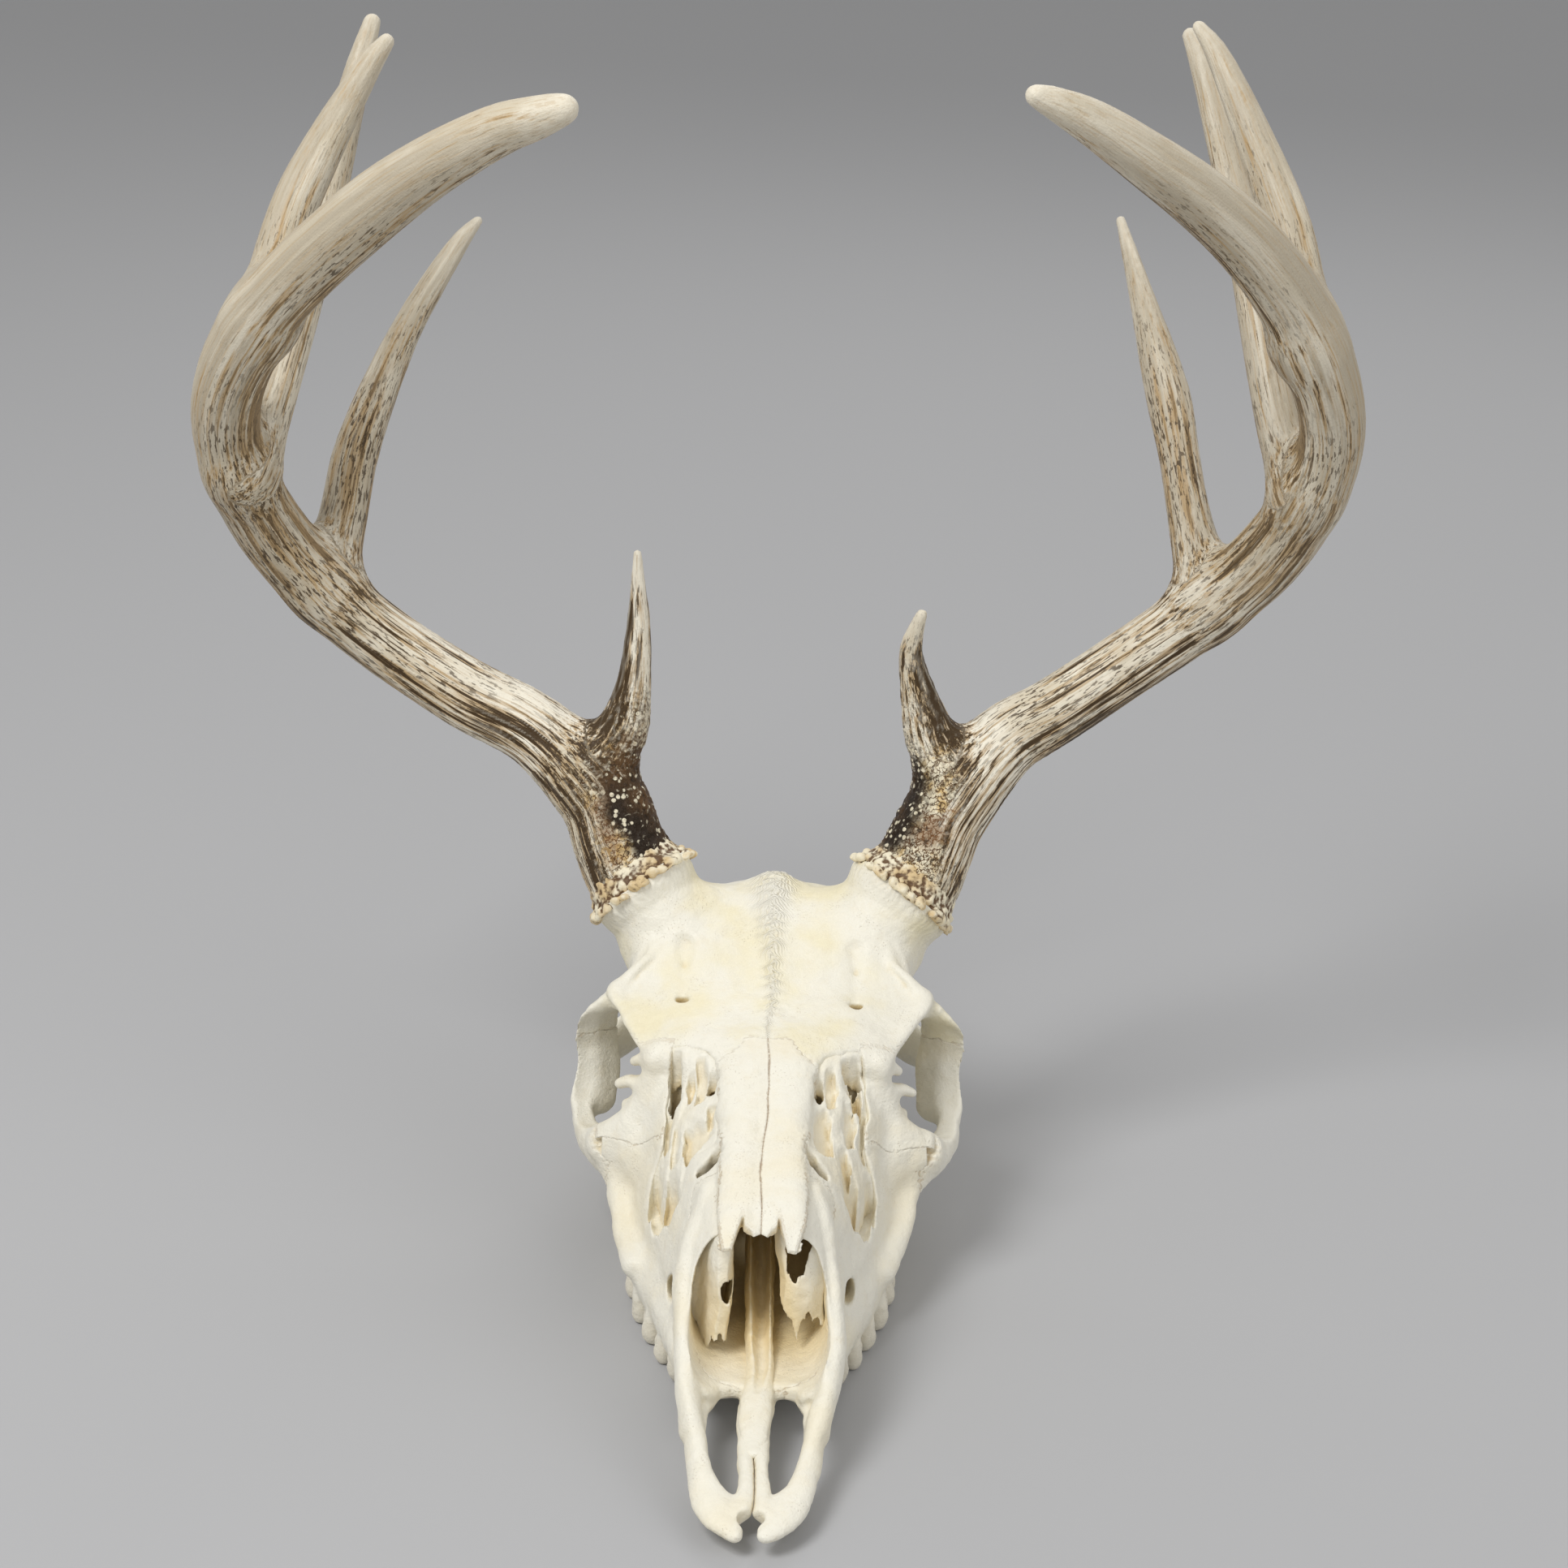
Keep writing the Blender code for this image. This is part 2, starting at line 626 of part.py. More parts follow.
def frozen_mesh(target):
    """The mesh that an object's modifiers make."""
    graph = bpy.context.evaluated_depsgraph_get()
    return bpy.data.meshes.new_from_object(target.evaluated_get(graph), depsgraph=graph)


def whole_skull():
    masses = skull_masses()
    joined = masses.modifiers.new("join", "REMESH")
    joined.mode = "VOXEL"
    joined.voxel_size = VOXEL * MM
    rounded = masses.modifiers.new("round_the_joins", "SMOOTH")
    rounded.iterations = SMOOTHING
    for cutter in skull_openings():
        add_boolean(masses, "DIFFERENCE", cutter)
    return new_object("skull_joined", frozen_mesh(masses), helper=True)


def outline_prism(name, x_range, outline, side, grow=0.0):
    """A slab that stands on an outline in (s, z), as a helper. A positive grow moves its sides outwards."""
    count = len(outline)
    moved = []
    for i in range(count):
        before, here, after = (Vector(outline[(i + k) % count]) for k in (-1, 0, 1))
        into = (here - before).normalized()
        onward = (after - here).normalized()
        normal_a = Vector((into.y, -into.x))
        normal_b = Vector((onward.y, -onward.x))
        miter = (normal_a + normal_b) / (1.0 + normal_a.dot(normal_b))
        moved.append(here + miter * grow)
    shape = bmesh.new()
    rings = []
    for x in (x_range[0] - grow, x_range[1] + grow):
        rings.append([shape.verts.new(world(x * side, place.x, place.y)) for place in moved])
    skin_rings(shape, rings)
    return new_object(name, finish_mesh(name, shape), helper=True)


def keep_largest(mesh):
    """Removes every loose piece of a mesh but the largest."""
    shape = bmesh.new()
    shape.from_mesh(mesh)
    left = set(shape.verts)
    pieces = []
    while left:
        grown = {left.pop()}
        edge = list(grown)
        while edge:
            vert = edge.pop()
            for link in vert.link_edges:
                other = link.other_vert(vert)
                if other in left:
                    left.discard(other)
                    grown.add(other)
                    edge.append(other)
        pieces.append(grown)
    pieces.sort(key=len)
    bmesh.ops.delete(shape, geom=[vert for piece in pieces[:-1] for vert in piece], context="VERTS")
    bmesh.ops.triangulate(shape, faces=shape.faces)
    shape.to_mesh(mesh)
    shape.free()


def place_node(name, mesh, look):
    """A node of the model: its mesh is moved so that the object's origin is at its middle."""
    corners = [vert.co for vert in mesh.vertices]
    middle = Vector([(min(c[k] for c in corners) + max(c[k] for c in corners)) / 2 for k in range(3)])
    mesh.transform(Matrix.Translation(-middle))
    mesh.materials.clear()
    mesh.materials.append(look)
    mesh.shade_smooth()
    mesh.set_sharp_from_angle(angle=math.radians(40))
    node = new_object(name, mesh)
    node.location = middle
    return node


def cut_node(name, source, look, steps, triangles=None, trims=()):
    """A node cut from a copy of the source by Boolean steps: (operation, other object).

    With a number of triangles it is then reduced to that many, and trimmed by a second list of steps.
    """
    draft = new_object(f"draft_{name}", source.data.copy(), helper=True)
    for operation, other in steps:
        add_boolean(draft, operation, other)
    if triangles:
        even = draft.modifiers.new("even", "REMESH")
        even.mode = "VOXEL"
        even.voxel_size = BONE_VOXEL * MM
        draft = new_object(f"even_{name}", frozen_mesh(draft), helper=True)
        draft.modifiers.new("fewer", "DECIMATE").ratio = triangles / (2 * len(draft.data.polygons))
        for operation, other in trims:
            add_boolean(draft, operation, other)
    mesh = frozen_mesh(draft)
    mesh.name = name
    keep_largest(mesh)
    return place_node(name, mesh, look)


def parting_steps(name, claim, taken, claim_grow, taken_grow):
    """The Boolean steps that leave what is inside the claim and outside every claim already taken."""
    steps = [("INTERSECT", outline_prism(f"{name}_claim", *claim, claim_grow))]
    for number, other in enumerate(taken):
        steps.append(("DIFFERENCE", outline_prism(f"{name}_taken_{number}", *other, taken_grow)))
    return steps


def part_off(name, bone, whole, look, claim, taken, floor):
    """Cuts one bone clear of those before it, reduces it, and trims it where its surface wandered."""
    steps = parting_steps(f"cut_{name}", claim, taken, 0.0, SUTURE_GAP)
    trims = parting_steps(f"trim_{name}", claim, taken, SUTURE_PLAY, SUTURE_GAP - SUTURE_PLAY)
    if bone in BONES_ON_FLOOR:
        trims.append(("DIFFERENCE", floor))
    cut_node(name, whole, look, steps, BONE_TRIANGLES[bone], trims)


def skull_bones(whole, looks):
    shape = bmesh.new()
    box(shape, *UNDER_FLOOR)
    floor = new_object("cut_floor", finish_mesh("cut_floor", shape), helper=True)
    beside_braincase = []
    for side, word in ((-1, "right"), (1, "left")):
        taken = []
        for bone, x_range, outline in CLAIMS:
            claim = (x_range, outline, side)
            part_off(f"{bone}_{word}", bone, whole, looks[bone], claim, taken, floor)
            taken.append(claim)
            if bone in BONES_BESIDE_BRAINCASE:
                beside_braincase.append(claim)
    claim = (*BRAINCASE_CLAIM, 1)
    part_off("braincase", "braincase", whole, looks["braincase"], claim, beside_braincase, floor)


def nose_pieces(look):
    """The vomer and the two turbinates, kept clear of the walls of the nasal cavity."""
    shape = bmesh.new()
    clear = []
    for s, z, width, height, squareness, narrowing in NASAL_CAVITY:
        clear.append((s, z, width - NOSE_CLEARANCE, height - NOSE_CLEARANCE, squareness, narrowing))
    midline_mass(shape, clear)
    inside = new_object("inside_nose", finish_mesh("inside_nose", shape), helper=True)
    pieces = (("vomer", VOMER, 1), ("turbinate_right", TURBINATE, -1), ("turbinate_left", TURBINATE, 1))
    for name, stations, side in pieces:
        shape = bmesh.new()
        swept_mass(shape, stations, side, sides=8, between=1)
        mass = new_object(f"mass_{name}", finish_mesh(name, shape), helper=True)
        cut_node(name, mass, look, [("INTERSECT", inside)])


# ---------------------------------------------------------------- antlers
def burr_stations(low, high, radius):
    """A disc square to the burr's axis, from low to high along it."""
    axis = Vector(BURR_AXIS).normalized()
    middle = Vector(BURR_PLACE)
    ends = [middle + axis * (low + (high - low) * share) for share in (0.0, 0.5, 1.0)]
    return tuple((tuple(end), radius) for end in ends)


def tube_object(name, stations, side=1, **settings):
    shape = bmesh.new()
    swept_mass(shape, stations, side, **settings)
    return new_object(name, finish_mesh(name, shape), helper=True)


def antler(word, side, beam, tines, looks):
    disc = burr_stations(-BURR_THICKNESS / 2, BURR_THICKNESS / 2, BURR_RADIUS)
    burr = tube_object(f"mass_burr_{word}", disc, side, sides=BURR_SIDES, between=1)
    round_beam = {"sides": BEAM_SIDES, "between": RINGS_BETWEEN}
    around_beam = tube_object(f"around_beam_{word}", beam, grow=GAP, **round_beam)
    last = len(beam) - 1.0
    for length, first, end in BEAM_LENGTHS:
        low = first + (STATION_GAP if first > 0.0 else 0.0)
        high = end - (STATION_GAP if end < last else 0.0)
        mass = tube_object(f"mass_{length}_{word}", beam, first=low, last=high, **round_beam)
        steps = [("UNION", burr)] if length == "base" else []
        cut_node(f"antler_{word}_{length}", mass, looks[length], steps)
    for tine, stations in tines.items():
        mass = tube_object(f"mass_{tine}_{word}", stations, sides=TINE_SIDES, between=RINGS_BETWEEN)
        cut_node(f"antler_{word}_{tine}", mass, looks[tine], [("DIFFERENCE", around_beam)])


def main():
    for startup in list(bpy.data.objects):
        bpy.data.objects.remove(startup)
    bone = material("bleached_bone", BONE, 0.55)
    frontal = material("ivory_bone", IVORY, 0.5)
    toothed = material("bone_and_enamel", TOOTH_BONE, 0.4)
    inner = material("nasal_bone_inside", INNER_BONE, 0.7)
    dark = material("antler_base", ANTLER_DARK, 0.6)
    middle = material("antler_middle", ANTLER_MID, 0.5)
    pale = material("antler_tip", ANTLER_PALE, 0.4)
    bones = dict.fromkeys(("nasal", "premaxilla", "lacrimal", "zygomatic", "braincase"), bone)
    bones.update(frontal=frontal, maxilla=toothed)
    skull_bones(whole_skull(), bones)
    nose_pieces(inner)
    looks = dict.fromkeys(("base", "brow_tine"), dark)
    looks.update(dict.fromkeys(("beam_lower", "second_tine", "beam_middle"), middle))
    looks.update(dict.fromkeys(("third_tine", "beam_upper", "fourth_tine", "beam_tip"), pale))
    antler("right", -1, RIGHT_BEAM, RIGHT_TINES, looks)
    antler("left", 1, LEFT_BEAM, LEFT_TINES, looks)


if __name__ == "__main__":
    main()
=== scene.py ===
"""The looks of a white-tailed deer buck's skull with its antlers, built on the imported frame.

Sizes in the tables are millimetres in the skull's own axes: (x, s, z), with x from the mid-line towards the
animal's left, s backwards from the tips of the premaxillae and z up from the plane of the cheek teeth.
"""

import math
from functools import cache

import bpy
import numpy as np
from bpy.props import FloatProperty, FloatVectorProperty, PointerProperty
from mathutils import Matrix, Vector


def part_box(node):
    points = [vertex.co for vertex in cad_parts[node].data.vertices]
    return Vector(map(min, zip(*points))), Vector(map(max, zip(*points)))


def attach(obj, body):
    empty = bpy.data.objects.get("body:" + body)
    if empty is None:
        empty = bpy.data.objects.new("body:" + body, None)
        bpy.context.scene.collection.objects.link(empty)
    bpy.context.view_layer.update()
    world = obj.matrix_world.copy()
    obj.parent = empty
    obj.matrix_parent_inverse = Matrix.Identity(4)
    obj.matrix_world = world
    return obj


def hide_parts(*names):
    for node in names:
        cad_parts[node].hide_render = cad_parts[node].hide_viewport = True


bl_info = {
    "name": "Deer Skull",
    "version": (1, 0, 0),
    "blender": (4, 5, 0),
    "location": "View3D > Sidebar > Deer Skull",
    "description": "Builds a museum model of a white-tailed deer buck's skull and antlers",
    "category": "Add Mesh",
}

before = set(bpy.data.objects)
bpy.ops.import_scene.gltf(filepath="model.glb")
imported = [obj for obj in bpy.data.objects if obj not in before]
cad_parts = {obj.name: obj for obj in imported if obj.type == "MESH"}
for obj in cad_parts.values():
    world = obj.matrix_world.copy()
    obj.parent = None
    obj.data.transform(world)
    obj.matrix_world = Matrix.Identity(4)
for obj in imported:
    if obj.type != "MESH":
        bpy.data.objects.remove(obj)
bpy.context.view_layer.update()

MM = 0.001
CENTRE = np.array([-2.4, 181.3, 0.0])  # the world's origin, in the skull's axes

# ---------------------------------------------------------------- the skull's masses
# Midline masses: (s, z of centre, half width, half height, squareness, narrowing towards the top)
ROSTRUM = (
    (50, 27, 20, 14, 2.6, 0.10), (66, 32, 23, 20, 2.8, 0.20), (84, 36, 27, 26, 2.6, 0.34),
    (104, 38, 34, 29, 2.6, 0.44), (124, 41, 42, 32, 2.6, 0.46), (142, 45, 47, 34, 2.6, 0.38),
    (156, 50, 47, 32, 2.5, 0.24), (166, 54, 41, 27, 2.4, 0.16),
)
FRONTAL_PLATE = (
    (140, 72, 20, 7, 2.4, 0.2), (152, 74.5, 32, 6.5, 2.8, 0.1), (160, 74.8, 36, 6.3, 3.2, 0.0),
    (168, 75.5, 40.5, 6.3, 3.4, 0.0), (176, 76.8, 45, 6.5, 3.4, 0.0), (184, 78.4, 48.5, 7.0, 3.2, 0.0),
    (190, 80.2, 46.5, 8.6, 3.0, 0.0), (197, 82.5, 44, 10.8, 2.8, 0.05), (206, 84, 43, 13, 2.6, 0.1),
    (218, 86, 45, 15, 2.5, 0.0), (230, 85, 43, 15, 2.4, 0.0), (242, 78, 36, 16, 2.3, 0.0),
    (252, 70, 28, 16, 2.3, 0.0),
)
ORBIT_CORE = (
    (150, 50, 26, 26, 2.6, 0.0), (170, 54, 19, 26, 2.6, -0.2), (190, 56, 19, 28, 2.6, -0.3),
    (208, 58, 27, 30, 2.4, -0.2), (224, 60, 33, 32, 2.3, 0.0),
)
BRAINCASE = (
    (206, 62, 28, 26, 2.2, 0.0), (220, 63, 36, 32, 2.2, 0.0), (236, 63, 39, 34, 2.2, 0.0),
    (252, 60, 38, 32, 2.3, 0.05), (262, 57, 36, 28.5, 2.3, 0.12), (270, 54, 32, 24, 2.2, 0.15),
    (276, 51, 25, 18.5, 2.2, 0.15), (281, 48, 16, 12, 2.2, 0.10),
)
SKULL_BASE = (
    (158, 30, 11, 8, 2.4, 0.0), (190, 31, 11, 8, 2.4, 0.0), (230, 30, 12, 8, 2.4, 0.0),
    (262, 31, 13, 9, 2.4, 0.0), (280, 36, 15, 10, 2.4, 0.0),
)
PALATE = (
    (52, 13.2, 19, 1.7, 3.0, 0.0), (66, 13.4, 19, 2.8, 3.0, 0.0), (92, 15, 22, 4.5, 3.0, 0.0),
    (120, 16, 31, 5.0, 3.0, 0.0), (152, 17, 34, 6.0, 3.0, 0.0), (168, 20, 27, 6.0, 3.0, 0.0),
)
# Paired masses on the animal's left: ((x, s, z), half width across, half height)
ALVEOLAR_RIDGE = (
    ((17, 70, 13), 5, 6), ((21, 88, 13), 5.5, 7), ((26, 106, 14), 6.5, 9), ((32, 130, 15), 7.5, 10),
    ((34, 152, 16), 7.5, 10), ((31, 169, 20), 6, 9),
)
PREMAXILLA_BODY = (
    ((3.9, 1.0, 6.2), 2.3, 1.7), ((5.9, 4.4, 6.8), 4.3, 2.5), ((8.4, 9.5, 7.5), 6.1, 2.9),
    ((11.4, 17.0, 8.7), 5.2, 3.4), ((14.8, 28.0, 11.0), 3.5, 4.2), ((17.2, 42.0, 15.4), 2.9, 5.0),
    ((20.4, 58.0, 21.8), 2.7, 6.0),
)
PREMAXILLA_RAMUS = (
    ((17.8, 40.0, 16.5), 2.4, 4.0), ((21.4, 56.0, 24.5), 2.5, 4.2), ((22.2, 70.0, 33.0), 2.4, 4.2),
    ((21.6, 80.0, 40.5), 2.4, 4.2), ((19.2, 90.0, 48.5), 2.4, 4.2), ((16.0, 100.0, 56.0), 2.4, 4.2),
)
PALATAL_PROCESS = (
    ((3.4, 9.0, 7.6), 3.4, 2.4), ((2.2, 20.0, 9.2), 2.2, 2.2), ((2.1, 34.0, 11.0), 2.1, 2.2),
    ((2.3, 48.0, 12.4), 2.3, 2.2), ((2.4, 60.0, 13.0), 2.4, 2.4),
)
NASAL_BLADE = (
    ((8.9, 64.5, 53.6), 2.2, 0.9), ((8.4, 68.5, 55.2), 3.4, 1.2), ((7.2, 75.0, 57.4), 5.6, 1.8),
    ((7.0, 82.0, 59.4), 6.0, 2.6), ((6.6, 100.0, 63.8), 6.4, 3.4), ((6.6, 122.0, 69.2), 6.6, 3.8),
    ((6.8, 142.0, 75.6), 7.0, 4.2), ((5.4, 155.0, 78.0), 5.0, 4.0),
)
CHEEK_ARCH = (
    ((40, 150, 42), 6, 9), ((48, 158, 40), 6, 8.5), ((54, 167, 38.5), 4.6, 7), ((57.6, 178, 39), 3.6, 6.5),
    ((58, 191, 42.5), 3.2, 6.5), ((55.0, 206, 47.5), 3.2, 7.5), ((48, 220, 49), 3.6, 8.5),
    ((40, 236, 48), 6, 7), ((32, 246, 48), 8, 8),
)
POSTORBITAL_BAR = (
    ((41, 190, 77), 7, 4), ((48.4, 188, 77), 5.5, 3.2), ((54.2, 190, 70.5), 8.0, 2.3),
    ((55.8, 191.5, 62), 9.0, 2.1), ((55.0, 190.5, 52), 9.4, 2.2), ((55.0, 187, 43), 8.6, 3.0),
)
BAR_TWIST = 0.86  # turns the bar's broad face forwards and inwards, in radians
SUPRAORBITAL_RIM = (
    ((34.5, 154, 72.8), 3, 2.2), ((37.6, 161, 75.2), 3, 2.0), ((41.6, 169, 77.6), 2.8, 1.8),
    ((45.6, 177, 79.9), 2.8, 1.7), ((48.2, 183, 81.6), 2.8, 1.8), ((46.5, 188, 81.0), 3, 2.4),
)
LACRIMAL_RIM = (
    ((34.0, 155, 73), 4, 4), ((35.6, 155, 66), 3.4, 4), ((38.4, 155, 58), 3.6, 4.4),
    ((43.0, 154, 50), 4.6, 5), ((49.0, 156, 43), 5, 5),
)
PEDICLE = (
    ((29, 213, 84), 17, 17), ((34, 216, 92), 16.0, 16.0), ((38.8, 218.8, 98.6), 15.6, 15.6),
    ((41.0, 220.1, 101.2), 17.0, 17.0), ((43.6, 221.6, 104.4), 18.6, 18.6),
)
JUGULAR_PROCESS = (
    ((30, 254, 46), 6, 9), ((28, 260, 32), 4.0, 7.4), ((27, 263, 18), 2.8, 5.4),
    ((26.5, 264.6, 7), 2.3, 3.8), ((26.5, 264.5, -1.6), 2.0, 2.8),
)
PTERYGOID = (((15, 156, 22), 3, 9), ((12, 172, 24), 2, 11), ((11, 188, 27), 2, 9))
NUCHAL_CREST = (
    ((0, 274.5, 77.5), 4.0, 3.2), ((7, 273.0, 78.0), 4.0, 2.8), ((16, 271.5, 75), 3.6, 2.8),
    ((27, 267, 66), 3.6, 3.4), ((33.5, 259, 52), 4, 4),
)
OCCIPITAL_RIDGE = (((0, 274, 77), 5.0, 3.4), ((0, 276.5, 68), 4.0, 3.4), ((0, 278.5, 58), 2.6, 3.0))
MIDLINE_RIDGE = (
    ((0, 165, 78.8), 3, 2.4), ((0, 185, 82.6), 4, 2.8), ((0, 200, 90.0), 6, 3.2), ((0, 222, 98.0), 7, 4),
    ((0, 236, 93), 7, 5), ((0, 246, 86), 6, 5),
)
TEMPORAL_LINE = (
    ((47.5, 184.5, 82.8), 2.0, 1.3), ((43.0, 188.5, 86.4), 1.8, 1.2), ((38.5, 193.0, 89.2), 1.6, 1.1),
    ((36.0, 199.0, 92.0), 1.4, 0.9),
)
FACIAL_CREST = (((45, 152, 34), 4.0, 4.0), ((42.5, 138, 26), 3.4, 3.4), ((38.0, 122, 20), 3.0, 3.0))
LACRIMAL_SPURS = (
    (((34, 155, 71.0), 3.0, 2.6), ((38.0, 158, 70.8), 2.4, 2.2), ((40.6, 160, 69.0), 1.8, 1.7)),
    (((37, 156, 63), 3.0, 2.6), ((42.0, 159, 62.8), 2.5, 2.0), ((45.0, 160.5, 61.4), 1.9, 1.6)),
    (((38, 156, 57), 2.6, 2.2), ((42.6, 159, 55.4), 1.8, 1.6)),
)
PALATE_SHELF = (
    ((16.5, 70, 14.0), 5.0, 2.6), ((15.5, 60, 14.0), 5.0, 2.2), ((15.5, 50, 13.8), 4.5, 2.2),
    ((16.5, 40, 13.6), 3.5, 2.4),
)
OCCIPITAL_CONDYLE = (
    ((4.5, 278, 27.5), 3.6, 4.0), ((10.0, 283.5, 29.5), 5.2, 6.2), ((14.2, 285.0, 35.5), 6.2, 6.8),
    ((14.8, 280.5, 43.0), 4.6, 6.0), ((13.0, 275.0, 47.0), 3.0, 4.0),
)
AUDITORY_BULLA = (
    ((17.5, 237, 24.5), 2.6, 3.4), ((19.0, 243, 25.0), 4.6, 6.2), ((20.5, 249, 27.0), 6.0, 8.6),
    ((23.0, 255, 32.0), 4.6, 6.0),
)
EAR_TUBE = (((26, 249, 37), 4.0, 4.4), ((33, 247, 43), 4.6, 4.8), ((38.5, 246, 46), 4.4, 4.6))
# Cheek teeth from front to back: (s of middle, x of middle, length, width across)
CHEEK_TEETH = (
    (90.5, 21.5, 10.5, 8.5), (101.5, 24.8, 11.0, 10.5), (112.5, 28.2, 11.0, 12.0),
    (125.5, 31.8, 13.5, 13.0), (140.5, 34.0, 15.0, 13.5), (156, 33.5, 14.5, 13.0),
)
# Hollows
NASAL_CAVITY = (
    (30, 34, 14.5, 16, 3.2, 0.0), (56, 36, 19.4, 18, 3.2, 0.06), (68, 37, 20.6, 18.6, 3.1, 0.12),
    (80, 38, 21.0, 19.4, 3.0, 0.20), (90, 39, 20.8, 19.6, 2.9, 0.28), (100, 40, 21, 20, 2.8, 0.30),
    (124, 46, 26, 22, 2.6, 0.34), (142, 51, 28, 20, 2.6, 0.34), (149, 53, 23, 15, 2.6, 0.34),
)
# The gap in front of each eye and the slit beside it: outlines in x and s, and their floors' heights along s
VACUITY = (
    (
        ((16.0, 144.5), (19.0, 148.5), (24.0, 151.5), (28.8, 152.8), (30.3, 144.0), (29.7, 133.0),
         (32.6, 131.0), (33.9, 128.8), (32.6, 121.8), (30.4, 115.4), (27.2, 110.8), (24.6, 110.8),
         (23.4, 116.2), (21.6, 118.5), (17.6, 116.4), (14.0, 116.0), (14.6, 128.0), (14.6, 138.0)),
        ((104, 35), (112, 33), (118, 31), (130, 34), (165, 48)),
    ),
    (
        ((12.4, 112.0), (14.8, 112.2), (18.4, 110.2), (18.8, 107.8), (15.8, 107.2), (12.4, 108.0)),
        ((88, 40), (165, 50)),
    ),
)
SUPRAORBITAL_GROOVE = (
    ((27.0, 177, 84.5), 2.4, 2.6), ((26.9, 186, 88.0), 2.6, 2.4), ((26.6, 196, 93.4), 2.6, 2.0),
)
SUPRAORBITAL_FORAMEN = (
    ((26.4, 173, 87), 2.3, 1.7), ((27.0, 177.5, 81), 2.1, 1.5), ((28.0, 181, 72), 1.8, 1.4),
)
INFRAORBITAL_FORAMEN = (
    ((29.8, 89.0, 27.0), 2.3, 3.9), ((26.8, 96.5, 26.2), 2.6, 3.9), ((24.6, 104.0, 24.4), 2.4, 3.5),
    ((22.4, 116.0, 21.4), 2.2, 2.8),
)
ROUND_HOLLOWS = (
    ((41, 176, 60), (22, 17.0, 17.4)), ((56, 173, 59.5), (14.5, 17.0, 18.4)), ((0, 6.6, 7), (3.7, 2.7, 9)),
    ((0, 1.4, 7), (1.1, 4.2, 8)), ((26.8, 190.5, 89.4), (1.5, 2.0, 2.4)), ((0, 282, 44), (8.5, 16, 8.0)),
    ((39.5, 246, 46.4), (4.0, 1.9, 2.2)), ((0, 168, 22), (8, 16, 6)),
)

# The holes in the front of the palate, in x and s at their upper rims. Their walls lean backwards.
INCISIVE_FORAMEN = (
    (4.2, 56.4), (7.5, 56.8), (10.6, 55.6), (13.2, 49.0), (13.6, 42.0), (13.4, 38.0), (12.6, 32.0),
    (11.0, 24.0), (8.8, 19.0), (6.6, 17.2), (5.0, 19.0), (4.2, 24.6), (3.9, 32.0), (3.9, 38.7),
    (3.9, 50.0),
)
FORAMEN_RIM = ((15, 9.5), (30, 11.5), (45, 14.0), (56, 14.8))
FORAMEN_LEAN = ((25, 0.4), (45, 1.5))

# Leaves of bone in each side of the nose's mouth: their line in x and s, and their two ends' heights over x
NOSE_LEAVES = {
    -1: (
        ((20.8, 92), (19.8, 84), (17.0, 83), (14.8, 80.0), (13.4, 74.5), (11.6, 71.0), (9.2, 71.4),
         (8.2, 76), (8.4, 92), (9.2, 112)),
        ((7, 23), (9, 21.5), (11.5, 27), (13.5, 24.0), (15.8, 20.0), (17.5, 24.5), (19.5, 23)),
        ((7, 58), (20, 58)),
    ),
    1: (
        ((20.8, 88), (18.6, 78.5), (14.6, 76.4), (10.8, 75.4), (7.8, 76.2), (6.4, 79.4), (6.8, 92),
         (8.4, 112)),
        ((6, 38), (8, 32), (11.1, 24.0), (12.6, 30.5), (14.2, 32.5), (15.5, 30.0), (17.5, 29), (19.5, 25)),
        ((6, 57), (7.4, 56), (8.2, 44.0), (10, 42.0), (12.5, 44.0), (14.0, 48), (16, 58)),
    ),
}
